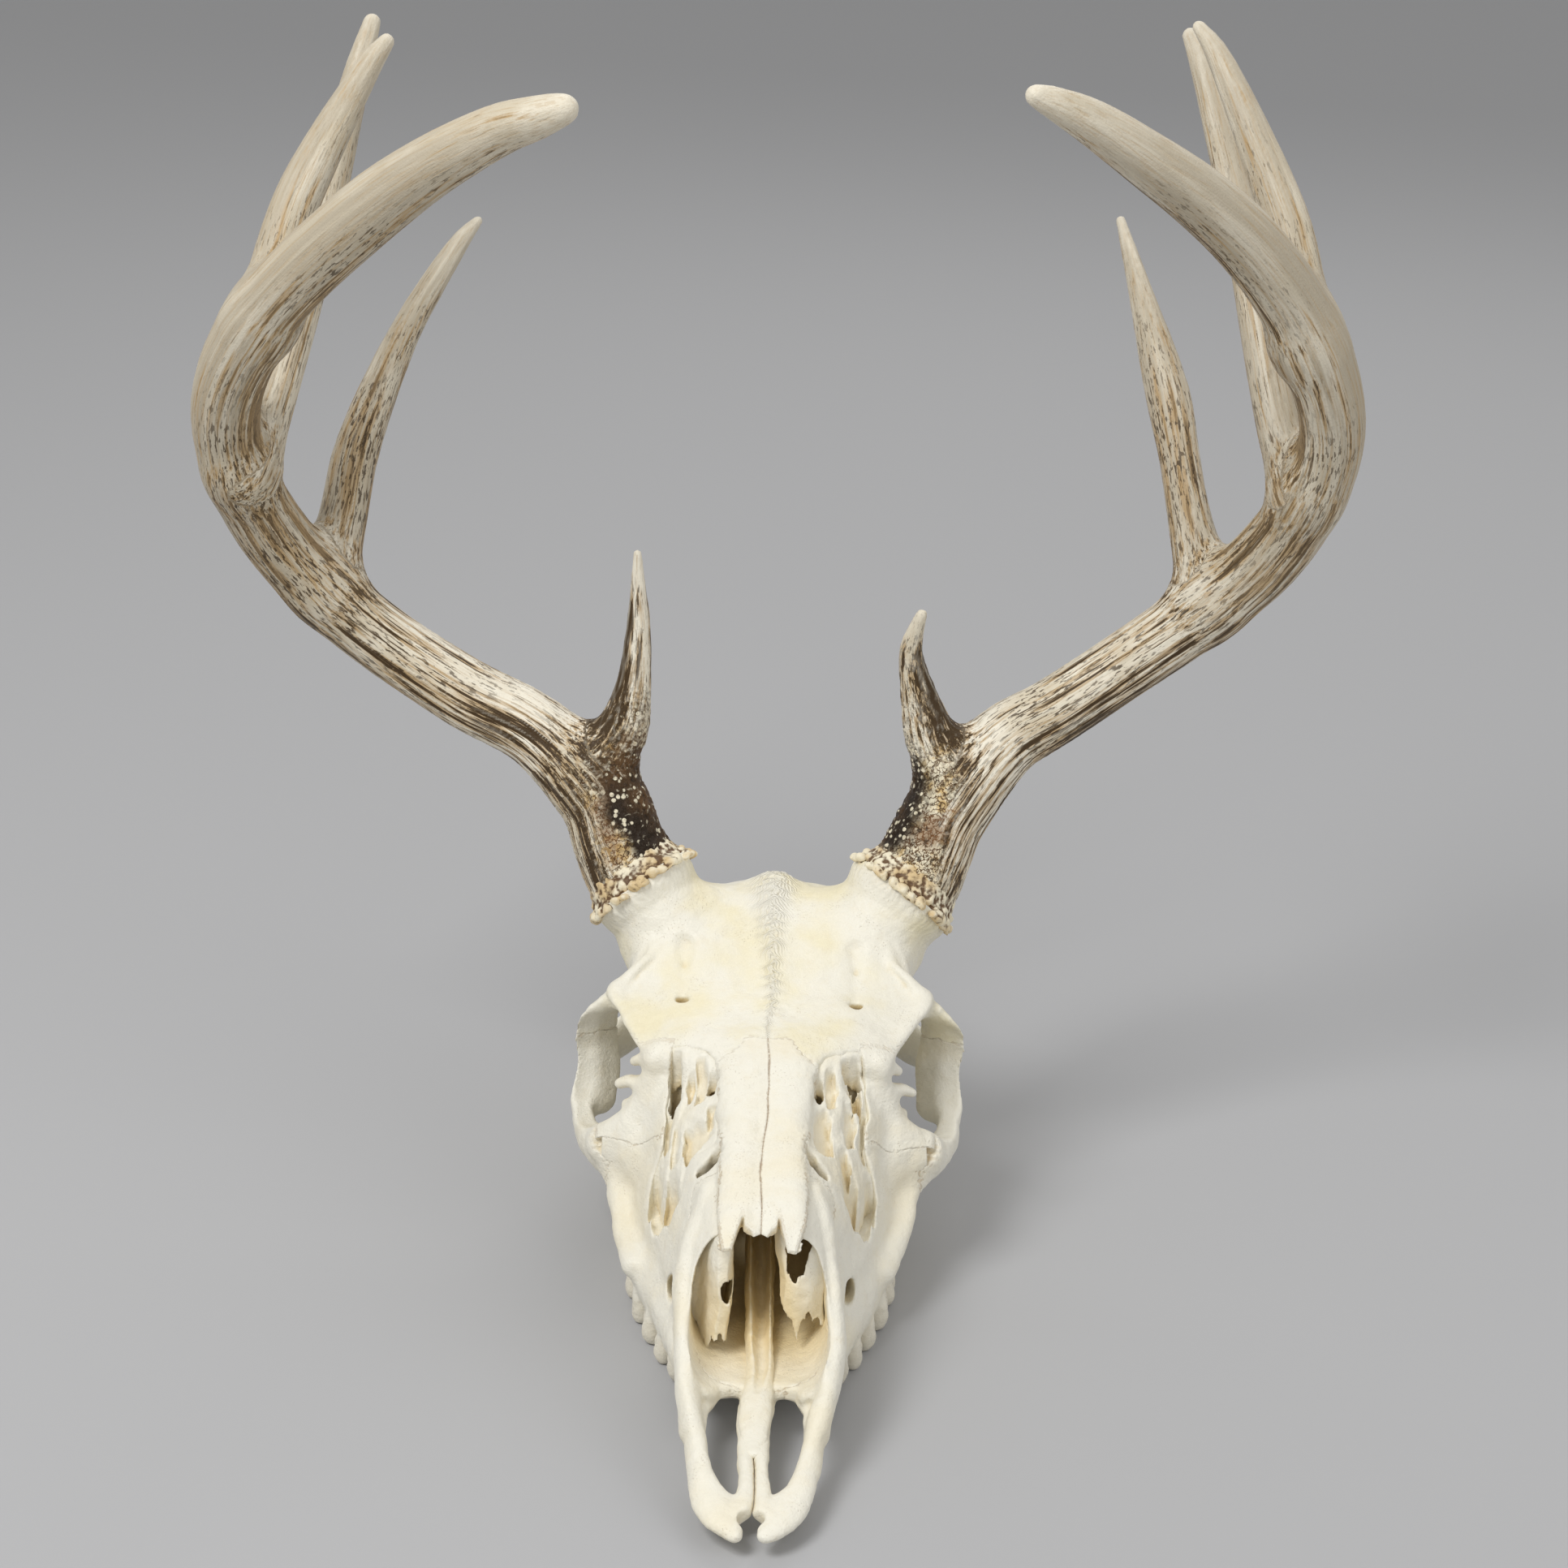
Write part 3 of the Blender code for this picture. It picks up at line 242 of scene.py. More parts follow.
# The broken bone in the gap in front of each eye: ridges as lines in x and s, and pits as (outline, depth)
RIDGES = {
    -1: (
        ((25.4, 149.0), (25.2, 143.0), (26.2, 139.4), (27.6, 135.0), (28.0, 129.0), (29.2, 125.0),
         (29.9, 122.4)),
        ((24.5, 132.0), (24.5, 127.0), (24.7, 121.0), (24.9, 117.0)),
        ((24.4, 133.6), (20.4, 132.0), (17.4, 130.4)),
    ),
    1: (
        ((21.8, 147.0), (22.2, 138.0), (22.6, 134.5), (21.4, 128.5), (23.0, 127.6), (26.4, 126.4),
         (28.0, 124.0), (28.8, 121.4)),
        ((29.0, 146.0), (28.0, 138.0), (27.8, 130.0)),
    ),
}
PITS = {
    -1: (
        (((18.4, 146.6), (20.6, 147.2), (21.2, 141.0), (20.6, 134.6), (18.6, 134.2), (18.0, 140.0)), 3.2),
        (((15.2, 139.6), (17.0, 141.0), (17.9, 138.4), (17.2, 135.6), (15.8, 135.4)), 11.0),
        (((22.0, 144.2), (23.3, 144.6), (23.8, 141.0), (23.0, 138.0), (21.9, 140.0)), 3.6),
        (((23.0, 128.8), (19.5, 127.6), (16.0, 125.2), (15.4, 120.6), (18.5, 119.4), (22.3, 118.8),
         (23.2, 123.0)), 3.4),
        (((15.0, 129.8), (16.1, 130.2), (16.4, 124.5), (15.3, 123.6)), 3.6),
        (((26.6, 151.0), (29.0, 151.8), (29.3, 143.0), (28.6, 140.6), (26.8, 141.2), (26.4, 145.0)), 15.0),
        (((28.5, 139.0), (29.5, 139.4), (29.5, 131.2), (28.6, 130.8)), 2.4),
        (((25.2, 117.5), (26.0, 121.0), (27.6, 123.6), (29.0, 120.8), (30.4, 126.5), (31.8, 130.9),
         (34.4, 130.0), (33.4, 122.0), (31.0, 114.6), (27.4, 109.6), (24.4, 110.4)), 4.4),
        (((25.6, 133.0), (26.6, 133.4), (27.2, 128.0), (26.8, 124.5), (25.6, 123.5), (25.4, 128.0)), 1.8),
    ),
    1: (
        (((18.4, 144.4), (19.9, 145.2), (20.8, 141.0), (20.6, 135.4), (19.2, 133.8), (18.2, 136.0),
         (17.6, 140.5)), 3.2),
        (((14.9, 139.4), (16.3, 139.8), (16.9, 136.2), (16.0, 133.8), (15.0, 134.6)), 11.0),
        (((15.2, 128.0), (16.4, 131.0), (18.4, 132.0), (19.8, 131.2), (20.2, 126.0), (20.8, 122.7),
         (20.2, 119.6), (16.6, 117.0), (15.2, 118.5)), 3.4),
        (((23.2, 149.0), (27.6, 151.2), (28.4, 148.4), (26.2, 146.2), (23.8, 145.2), (23.0, 147.0)), 15.0),
        (((24.0, 144.2), (26.0, 145.2), (28.0, 147.0), (28.2, 140.0), (26.6, 139.4), (25.2, 142.0)), 5.0),
        (((23.9, 138.6), (25.4, 139.0), (27.0, 137.0), (26.9, 131.0), (25.2, 128.8), (24.4, 132.0)), 2.8),
        (((28.9, 142.0), (29.8, 142.4), (29.7, 131.9), (28.9, 131.7)), 2.4),
        (((23.4, 125.4), (24.6, 126.4), (25.6, 123.6), (24.6, 118.0), (23.4, 116.8), (23.2, 120.0)), 3.4),
        (((23.8, 115.2), (24.8, 118.6), (27.0, 121.4), (28.2, 118.8), (29.6, 123.5), (31.0, 130.0),
         (34.4, 130.0), (33.4, 122.0), (31.0, 114.6), (27.4, 109.6), (24.0, 110.4)), 4.4),
    ),
}
SLAB_DEPTH = 7.0  # how far under the skin the broken bone reaches
LEAF_HALF = 0.42  # half the thickness of a leaf of bone
VOMER_VOXEL = 0.52
SCROLL_VOXEL = 0.46

# The vomer and its trough
VOMER = (
    ((0, 33, 12.4), 2.4, 1.2), ((0, 41, 13.6), 4.1, 1.9), ((0, 50, 15.4), 4.6, 2.7),
    ((0, 62, 18.4), 3.9, 3.4), ((0, 78, 22.4), 4.1, 5.0), ((0, 100, 29), 4.3, 8.0),
    ((0, 124, 38), 4.3, 11.0), ((0, 146, 46), 4.3, 13.0),
)
VOMER_TROUGH = (
    ((0.3, 54, 20.4), 1.5, 1.8), ((0.4, 64, 23.4), 2.2, 4.0), ((0.5, 80, 28.6), 2.7, 7.0),
    ((0.4, 104, 38.5), 2.7, 9.0), ((0.2, 126, 49.5), 2.7, 12.0), ((0, 150, 60), 2.7, 14.0),
)

# ---------------------------------------------------------------- how the skull is parted
# The nasal bones' plan in x and s, with its notched front edge
NASAL_PLAN = (
    (-1, 73.8), (1.2, 73.4), (2.6, 75.2), (4.2, 76.2), (4.9, 80.6), (5.5, 80.0), (6.6, 75.0), (7.6, 70.0),
    (8.6, 65.2), (9.4, 66.0), (12.2, 78), (13.0, 92), (12.2, 104), (12.7, 112), (14.9, 124), (14.4, 138),
    (14.8, 142), (10, 147), (6.6, 152), (-1, 152.6),
)
# Each bone takes what is left of the skull in its claim, in this order:
# (name, from x, to x, outline in s and z)
CLAIMS = (
    ("nasal", 0.0, 15.0, ((60, 48), (100, 57), (124, 64), (142, 69), (154, 71), (154, 100), (60, 100))),
    ("premaxilla", 0.0, 32.0, ((-10, -2), (55, -2), (57, 19), (74, 30), (92, 43), (106, 56), (100, 66),
     (60, 50), (-10, 30))),
    ("lacrimal", 29.0, 52.0, ((136, 56), (144, 50), (156, 45), (165, 50), (166, 76), (152, 78.5),
     (138, 76))),
    ("zygomatic", 34.0, 75.0, ((150, 32), (166, 24), (196, 26), (228, 36), (224, 58), (211, 64),
     (180, 66), (170, 50), (157, 46), (148, 41))),
    ("frontal", 0.0, 75.0, ((139, 64), (212, 64), (222, 72), (238, 76), (247, 88), (247, 125), (150, 125),
     (139, 100))),
    ("maxilla", 0.0, 75.0, ((40, -2), (167, -2), (167, 20), (163, 30), (163, 100), (40, 100))),
    ("braincase", -75.0, 75.0, ((163, -2), (320, -2), (320, 110), (163, 110))),
)
# What the frame calls each bone's material, and the size of a bone's samples in mm
SLOTS = {
    "nasal": "bleached_bone",
    "premaxilla": "bleached_bone",
    "lacrimal": "bleached_bone",
    "zygomatic": "bleached_bone",
    "frontal": "ivory_bone",
    "maxilla": "bone_and_enamel",
    "braincase": "bleached_bone",
}
BONE_VOXELS = {
    "nasal": 0.42,
    "premaxilla": 0.42,
    "lacrimal": 0.42,
    "zygomatic": 0.46,
    "frontal": 0.55,
    "maxilla": 0.62,
    "braincase": 0.92,
}
CHEVRON_STEP = 2.3  # mm from one chevron of the forehead's suture to the next
SUTURE_GAP = -0.90  # the bones overlap by this much, so that only a fine crease shows
FAR = 12.0  # distances are cut off here
SKULL_TOP = 125.0  # a height above all of the skull
THINNEST = 0.4  # the least radius of a path
NO_REACH = 0.01  # as good as no rounding
JOIN = 5.0  # reach of the rounding where two masses meet
FINE_JOIN = 2.5  # the same for small ones
RIM = 1.6  # and where a hollow cuts the surface
# The masses in the order of their making. Those along a path come with the reach of their rounding.
LOFTED_MASSES = (ROSTRUM, FRONTAL_PLATE, ORBIT_CORE, BRAINCASE, SKULL_BASE, PALATE)
SWEPT_MASSES = (
    (JOIN, (ALVEOLAR_RIDGE, CHEEK_ARCH, LACRIMAL_RIM, MIDLINE_RIDGE, JUGULAR_PROCESS, NUCHAL_CREST,
            OCCIPITAL_RIDGE, FACIAL_CREST)),
    (FINE_JOIN, (OCCIPITAL_CONDYLE, AUDITORY_BULLA, EAR_TUBE)),
    (13.0, (PEDICLE,)),
    (3.0, (POSTORBITAL_BAR,)),
    (FINE_JOIN, (PREMAXILLA_BODY, PREMAXILLA_RAMUS, PALATE_SHELF, NASAL_BLADE, PTERYGOID, TEMPORAL_LINE,
                 SUPRAORBITAL_RIM)),
)
# Where the antler's foot stands: the burr's middle, its axis, radius and thickness
BURR_PLACE = np.array([41.8, 220.6, 102.4])
BURR_AXIS = np.array([0.60, 0.35, 0.72]) / np.linalg.norm([0.60, 0.35, 0.72])
BURR_RADIUS = 19.6
BURR_THICKNESS = 3.4

# ---------------------------------------------------------------- antlers: ((x, s, z), radius)
RIGHT_BEAM = (
    ((-41.8, 220.6, 102.4), 15.5), ((-46.0, 223.1, 107.6), 15.0), ((-50.4, 226.0, 116.0), 14.2),
    ((-56.5, 231.0, 129.0), 13.6), ((-76.9, 238.8, 146.9), 11.6), ((-100.8, 244.0, 157.7), 11.1),
    ((-125.6, 248.6, 172.4), 10.8), ((-146.0, 248.4, 190.0), 10.9), ((-161.6, 242.0, 212.0), 11.0),
    ((-170.3, 230.0, 237.2), 10.4), ((-170.3, 219.3, 258.1), 10.5), ((-161.9, 207.9, 278.6), 10.7),
    ((-146.2, 196.7, 299.7), 10.0), ((-122.6, 184.2, 322.9), 9.8), ((-102.6, 174.4, 339.1), 8.7),
    ((-83.3, 166.1, 351.2), 7.2), ((-71.6, 160.6, 356.2), 6.0), ((-64.5, 157.8, 359.0), 4.6),
    ((-62.5, 157.2, 359.7), 3.4),
)
RIGHT_TINES = (
    (
        ((-60.0, 233.0, 136.0), 9.0), ((-50.0, 233.3, 150.0), 8.0), ((-46.2, 233.8, 164.6), 5.4),
        ((-44.7, 233.7, 183.9), 3.7), ((-45.3, 233.2, 209.6), 1.4),
    ),
    (
        ((-145.6, 250.0, 191.0), 9.6), ((-141.9, 264.9, 209.5), 7.8), ((-138.9, 285.4, 229.2), 7.3),
        ((-128.0, 318.6, 257.2), 5.2), ((-114.4, 347.5, 279.6), 3.6), ((-107.2, 358.7, 287.9), 1.7),
    ),
    (
        ((-167.0, 229.8, 233.0), 9.0), ((-159.9, 242.8, 252.3), 7.0), ((-149.1, 271.9, 297.5), 6.4),
        ((-140.4, 299.5, 341.4), 4.6), ((-135.9, 311.5, 359.9), 2.8),
    ),
    (
        ((-155.0, 206.0, 287.0), 8.6), ((-150.6, 220.1, 310.4), 7.3), ((-144.5, 231.7, 326.6), 6.8),
        ((-130.8, 252.4, 352.6), 4.3), ((-124.9, 260.6, 361.3), 2.6),
    ),
)
LEFT_BEAM = (
    ((41.8, 220.6, 102.4), 15.5), ((46.0, 223.1, 107.6), 14.8), ((50.0, 226.0, 116.0), 13.8),
    ((55.8, 230.6, 127.5), 13.2), ((72.0, 239.0, 147.5), 11.8), ((90.0, 244.1, 158.1), 11.1),
    ((113.1, 249.0, 173.6), 10.8), ((135.5, 250.0, 191.2), 10.9), ((153.0, 244.5, 211.0), 11.2),
    ((163.7, 232.1, 235.5), 10.4), ((166.3, 221.3, 257.8), 10.1), ((159.6, 210.7, 280.4), 10.6),
    ((147.1, 202.2, 302.8), 10.0), ((132.0, 193.2, 321.1), 9.6), ((116.1, 184.7, 335.3), 9.0),
    ((98.3, 175.6, 348.0), 7.8), ((83.5, 168.7, 357.9), 6.4), ((72.7, 163.7, 363.6), 4.8),
    ((66.3, 161.0, 366.4), 3.2),
)
LEFT_TINES = (
    (((57.0, 234.0, 138.0), 9.0), ((49.5, 234.6, 151.0), 8.0), ((44.4, 233.6, 166.8), 5.2),
     ((41.5, 230.6, 181.4), 3.2), ((44.2, 225.9, 195.0), 1.4)),
    (((136.5, 251.0, 194.0), 9.6), ((131.1, 267.2, 215.3), 7.3), ((128.4, 286.3, 231.7), 6.7),
     ((124.9, 304.8, 249.2), 6.9), ((117.0, 337.8, 276.5), 3.9), ((111.4, 358.7, 294.5), 1.7)),
    (((160.5, 233.0, 236.0), 9.0), ((152.3, 246.3, 258.7), 7.0), ((142.8, 275.2, 306.1), 6.4),
     ((130.7, 302.6, 349.6), 4.5), ((125.2, 312.6, 363.1), 2.6)),
    (((153.0, 209.0, 288.0), 8.6), ((150.7, 220.0, 310.0), 7.3), ((144.9, 232.3, 328.2), 6.8),
     ((129.5, 255.8, 361.6), 4.2), ((122.0, 264.8, 372.4), 2.2)),
)
ANTLER_VOXEL = 0.84  # the size of the samples
BURR_VOXEL = 0.46
FORK_JOIN = 9.0  # reach of the webs in the forks
PATH_SPACING = 40  # from path to path, where they are laid out straight


# ---------------------------------------------------------------- numbers for shapes
def smooth_min(a, b, reach):
    """The smaller of two fields, with the crease between them filled over the reach."""
    near = np.maximum(reach - np.abs(a - b), 0.0) / reach
    return np.minimum(a, b) - near * near * (0.25 * reach)


def smooth_max(a, b, reach):
    """The larger of two fields, with the ridge between them rounded over the reach."""
    return -smooth_min(-a, -b, reach)


def smoothed_rows(rows, between):
    """Catmull-Rom curve through rows of numbers, with a number of steps in each gap."""
    rows = np.asarray(rows, float)
    t = np.arange((len(rows) - 1) * between + 1) / between
    i = np.minimum(t.astype(int), len(rows) - 2)
    f = (t - i)[:, None]
    a, b, c, d = (rows[np.clip(i + k, 0, len(rows) - 1)] for k in (-1, 0, 1, 2))
    return 0.5 * (2 * b + (c - a) * f + (2 * a - 5 * b + 4 * c - d) * f * f + (3 * b - a - 3 * c + d) * f**3)


def station_rows(stations):
    """Rows of (x, s, z, radius across, radius up); a round station gives its one radius twice."""
    return [(*station[0], station[1], station[-1]) for station in stations]


def frames_along(ahead):
    """Sideways and upward directions for each heading, turning as little as they can on the way."""
    sides = []
    for heading in ahead:
        if not sides:
            hint = np.array([0.0, 0, 1]) if abs(heading[2]) < 0.9 else np.array([0.0, 1, 0])
            side = np.cross(heading, hint)
        else:
            side = sides[-1] - heading * (sides[-1] @ heading)
        sides.append(side / np.linalg.norm(side))
    sides = np.array(sides)
    return sides, np.cross(sides, ahead)


def grid_axes(low, high, voxel):
    """Coordinates of the samples along each axis, on a lattice that every grid of this voxel size shares."""
    first = np.floor(np.asarray(low) / voxel).astype(int)
    last = np.ceil(np.asarray(high) / voxel).astype(int)
    return [np.arange(a, b + 1, dtype=np.float32) * np.float32(voxel) for a, b in zip(first, last)]


def window(axes, low, high):
    """The slices of a grid that a box covers. They are empty where it misses the grid."""
    return tuple(slice(*np.searchsorted(axis, ends)) for axis, ends in zip(axes, zip(low, high)))


def cut(axes, place):
    """The coordinates in a window of a grid."""
    return [axis[part] for axis, part in zip(axes, place)]


def spread(axes):
    """The three coordinates of a grid, shaped to broadcast."""
    return axes[0][:, None, None], axes[1][None, :, None], axes[2][None, None, :]


def far_field(axes):
    """A field with no surface in it yet."""
    return np.full([len(axis) for axis in axes], FAR, np.float32)


def ray_distance(length, ratio):
    """Distance to a surface that the ray from the centre meets where the ratio is 1."""
    return length * (1.0 - 1.0 / np.maximum(ratio, 1e-3))


def lofted(axes, stations):
    """A mass along s: its sections are superellipses |x/w|^n + |z/h|^n = 1 whose width narrows upwards."""
    rows = smoothed_rows(stations, 8)
    s0, s1 = rows[0, 0], rows[-1, 0]
    wide = rows[:, 2].max() + FAR
    low = (-wide, s0 - FAR, (rows[:, 1] - rows[:, 3]).min() - FAR)
    high = (wide, s1 + FAR, (rows[:, 1] + rows[:, 3]).max() + FAR)
    place = window(axes, low, high)
    x, s, z = spread(cut(axes, place))
    middle, width, height, power, narrow = (
        np.interp(s, rows[:, 0], column).astype(np.float32) for column in rows.T[1:])
    up = (z - middle) / height
    across = x / (width * (1.0 - narrow * (np.clip(up, -1, 1) + 1.0) * 0.5))
    ratio = (np.abs(across) ** power + np.abs(up) ** power) ** (1.0 / power)
    distance = ray_distance(np.sqrt(x * x + (z - middle) ** 2), ratio)
    ends = np.maximum(s0 - s, s - s1)
    return place, smooth_max(distance, ends + 0 * distance, 4.0).astype(np.float32)


def path_frames(centres):
    """The length and the three directions of each step along a path."""
    steps = np.diff(centres, axis=0)
    lengths = np.linalg.norm(steps, axis=1)
    ahead = steps / lengths[:, None]
    return lengths, ahead, *frames_along(ahead)


def swept(axes, stations, between=3, twist=0.0):
    """A mass along a path: the union of short elliptic cones from each step of the path to the next."""
    rows = smoothed_rows(station_rows(stations), between)
    centres, across_r, up_r = rows[:, :3], np.maximum(rows[:, 3], THINNEST), np.maximum(rows[:, 4], THINNEST)
    radius = np.maximum(across_r, up_r)
    low, high = (centres - radius[:, None]).min(0), (centres + radius[:, None]).max(0)
    place = window(axes, low - FAR, high + FAR)
    lengths, ahead, sides, ups = path_frames(centres)
    lean, rise = math.cos(twist), math.sin(twist)
    sides, ups = sides * lean + ups * rise, ups * lean - sides * rise
    sub_axes = cut(axes, place)
    distance = far_field(sub_axes)
    for k, length in enumerate(lengths):
        reach = radius[k:k + 2].max() + FAR
        ends = centres[k:k + 2]
        inner = window(sub_axes, ends.min(0) - reach, ends.max(0) + reach)
        x, s, z = (v - np.float32(start) for v, start in zip(spread(cut(sub_axes, inner)), ends[0]))
        a, b, c = (v[0] * x + v[1] * s + v[2] * z for v in np.float32((sides[k], ups[k], ahead[k])))
        t = np.clip(c / length, 0, 1)
        over = c - t * np.float32(length)
        ra = across_r[k] + t * (across_r[k + 1] - across_r[k])
        rb = up_r[k] + t * (up_r[k + 1] - up_r[k])
        ratio = np.sqrt((a / ra) ** 2 + (b / rb) ** 2 + (2 * over / (ra + rb)) ** 2)
        found = ray_distance(np.sqrt(a * a + b * b + over * over), ratio)
        distance[inner] = np.minimum(distance[inner], found)
    return place, distance


def egg(axes, middle, radii):
    """An ellipsoid (x/a)^2 + (s/b)^2 + (z/c)^2 = 1."""
    middle, radii = np.asarray(middle, float), np.asarray(radii, float)
    place = window(axes, middle - radii - FAR, middle + radii + FAR)
    x, s, z = (v - np.float32(m) for v, m in zip(spread(cut(axes, place)), middle))
    ratio = np.sqrt((x / radii[0]) ** 2 + (s / radii[1]) ** 2 + (z / radii[2]) ** 2)
    return place, ray_distance(np.sqrt(x * x + s * s + z * z), ratio).astype(np.float32)


def well(axes, plan, floor):
    """A hollow open to the top, from its ragged outline in x and s and a floor whose height depends on s."""
    plan, floor = np.asarray(plan, float), np.asarray(floor, float)
    low = (*(plan.min(0) - FAR), floor[:, 1].min() - FAR)
    place = window(axes, low, (*(plan.max(0) + FAR), SKULL_TOP))
    x, s, z = spread(cut(axes, place))
    ragged = 0.25 * np.sin(s * 0.8 + 1.7 * np.sin(x * 0.55)) + 0.15 * np.sin(x * 1.3 + s * 0.9)
    side = outline_distance(x, s, plan) + ragged - 0.3
    level = np.interp(s, floor[:, 0], floor[:, 1]) - z
    return place, smooth_max(side + 0 * level, level + 0 * side, 2.0).astype(np.float32)


def line_distance(x, s, line):
    """Distance in the plane of x and s to an open line through the given points."""
    best = None
    for (a, b), (c, d) in zip(line, line[1:]):
        ex, es = c - a, d - b
        t = np.clip(((x - a) * ex + (s - b) * es) / (ex * ex + es * es), 0, 1)
        square = (x - a - t * ex) ** 2 + (s - b - t * es) ** 2
        best = square if best is None else np.minimum(best, square)
    return np.sqrt(best)


def incisive_hole(axes):
    """A hole through the front of the palate, whose outline is the one at the rim, pushed back below it."""
    top = 24  # above the palate here
    place = window(axes, (0, 12, -6), (18, 80, top))
    x, s, z = spread(cut(axes, place))
    rim = np.interp(s, *np.asarray(FORAMEN_RIM, float).T)
    lean = np.interp(s, *np.asarray(FORAMEN_LEAN, float).T)
    distance = outline_distance(x, s + lean * np.minimum(z - rim, 0), np.asarray(INCISIVE_FORAMEN, float))
    return place, np.maximum(distance, z - top).astype(np.float32)


def join(field, mass, reach):
    """Adds a mass to a field, with a rounding of this reach where they meet."""
    place, distance = mass
    field[place] = smooth_min(field[place], distance, reach)


def carve(field, mass, reach):
    """Cuts a hollow from a field, with its edges rounded over this reach."""
    place, distance = mass
    field[place] = smooth_max(field[place], -distance, reach)


# ---------------------------------------------------------------- the skull as one field
def tooth_lobes():
    """The cusps of the cheek teeth: each lobe of a tooth has an outer and an inner one, widest at the
    crown's waist, with a slim rib down its outer face."""
    lobes = []
    outs_and_heights = ((0.8, 14.0), (0.95, 8.0), (1.05, 4.4), (1.15, 2.2), (1.3, 0.1))
    sizes = ((0.26, 0.17), (0.30, 0.22), (0.31, 0.25), (0.26, 0.20), (0.10, 0.06))
    for s, x, length, width in CHEEK_TEETH:
        # The row's two end teeth stay clear of the floor, and the floor's plane cuts the others level.
        lift = 0.7 if s in (CHEEK_TEETH[0][0], CHEEK_TEETH[-1][0]) else -0.2
        for lobe in (-0.25, 0.25):
            for across in (-0.24, 0.24):
                lobe_s = s + lobe * length
                places = [(x + across * out * width, lobe_s, lift + z) for out, z in outs_and_heights]
                lobes.append(tuple((p, a * width, b * length) for p, (a, b) in zip(places, sizes)))
            ribs = ((0.40, 9.0, 0.9), (0.50, 5.0, 1.1), (0.50, 2.4, 0.7))
            lobes.append(tuple(((x + out * width, s + lobe * length, lift + z), r, r) for out, z, r in ribs))
    return lobes


def skull_field(axes, carved=True):
    """Signed distance to the whole skull's surface, negative inside, on the half grid from the mid-line
    out. Without its hollows it is the outer skin alone."""
    field = far_field(axes)
    for stations in LOFTED_MASSES:
        join(field, lofted(axes, stations), JOIN)
    for reach, group in SWEPT_MASSES:
        for stations in group:
            twist = BAR_TWIST if stations is POSTORBITAL_BAR else 0.0
            join(field, swept(axes, stations, twist=twist), reach)
    if not carved:
        return field
    carve(field, lofted(axes, NASAL_CAVITY), RIM)
    for plan, floor in VACUITY:
        carve(field, well(axes, plan, floor), 1.2)
    carve(field, incisive_hole(axes), 2.2)
    join(field, swept(axes, PALATAL_PROCESS), 1.5)
    carve(field, swept(axes, SUPRAORBITAL_GROOVE), 3.0)
    for stations in (SUPRAORBITAL_FORAMEN, INFRAORBITAL_FORAMEN):
        carve(field, swept(axes, stations), 1.2)
    for place, radii in ROUND_HOLLOWS:
        carve(field, egg(axes, place, radii), min(RIM, 0.4 * min(radii)))
    for stations in LACRIMAL_SPURS:
        join(field, swept(axes, stations), 2.0)
    for stations in tooth_lobes():
        join(field, swept(axes, stations, between=2), 0.5)
    # The pedicle ends in a flat inside the burr.
    x, s, z = spread(axes)
    above = sum((v - middle) * ahead for v, middle, ahead in zip((x, s, z), BURR_PLACE, BURR_AXIS)) - 0.6
    cap = np.where((x > 12) & (z > 80), above, -FAR).astype(np.float32)
    field = np.maximum(field, np.minimum(cap, FAR))
    return np.maximum(field, -z)


def outline_distance(s, z, outline):
    """Signed distance in the plane of s and z to a closed outline, negative inside."""
    best = None
    inside = False
    for (a, b), (c, d) in zip(outline, (*outline[1:], outline[0])):
        es, ez = c - a, d - b
        t = np.clip(((s - a) * es + (z - b) * ez) / (es * es + ez * ez), 0, 1)
        square = (s - a - t * es) ** 2 + (z - b - t * ez) ** 2
        best = square if best is None else np.minimum(best, square)
        crosses = ((b > z) != (d > z)) & (s < es * (z - b) / (ez if ez else 1e-9) + a)
        inside = inside ^ crosses
    return np.where(inside, -1.0, 1.0) * np.sqrt(best)


def claim_distance(claim, x, s, z):
    """How far a place lies outside a bone's claim; small waves make the sutures interlock."""
    name, x0, x1, outline = claim
    wave = 0.36 * np.sin((s + z) * 2.1 + 1.6 * np.sin(x * 0.5))
    wave = wave + 0.2 * np.sin((x - z) * 2.7 + np.sin(s * 0.7))
    slow = 1.1 * np.sin(s * 0.31 + z * 0.2) * np.sin(x * 0.33 + 1.0)
    side = outline_distance(s, z, outline) + wave + slow
    if x0 > 0:
        edges = np.maximum(x0 + 0.2 * wave + 0.5 * slow - x, x - x1)
    else:
        edges = np.maximum(x0 - x, x - x1 + (wave if x1 < 70 else 0.0))
    if name == "nasal":
        ragged = np.clip((s - 84) / 10, 0, 1)
        side = np.maximum(outline_distance(x, s, NASAL_PLAN) + ragged * (wave + 0.5 * slow), side)
    return np.maximum(side, edges)


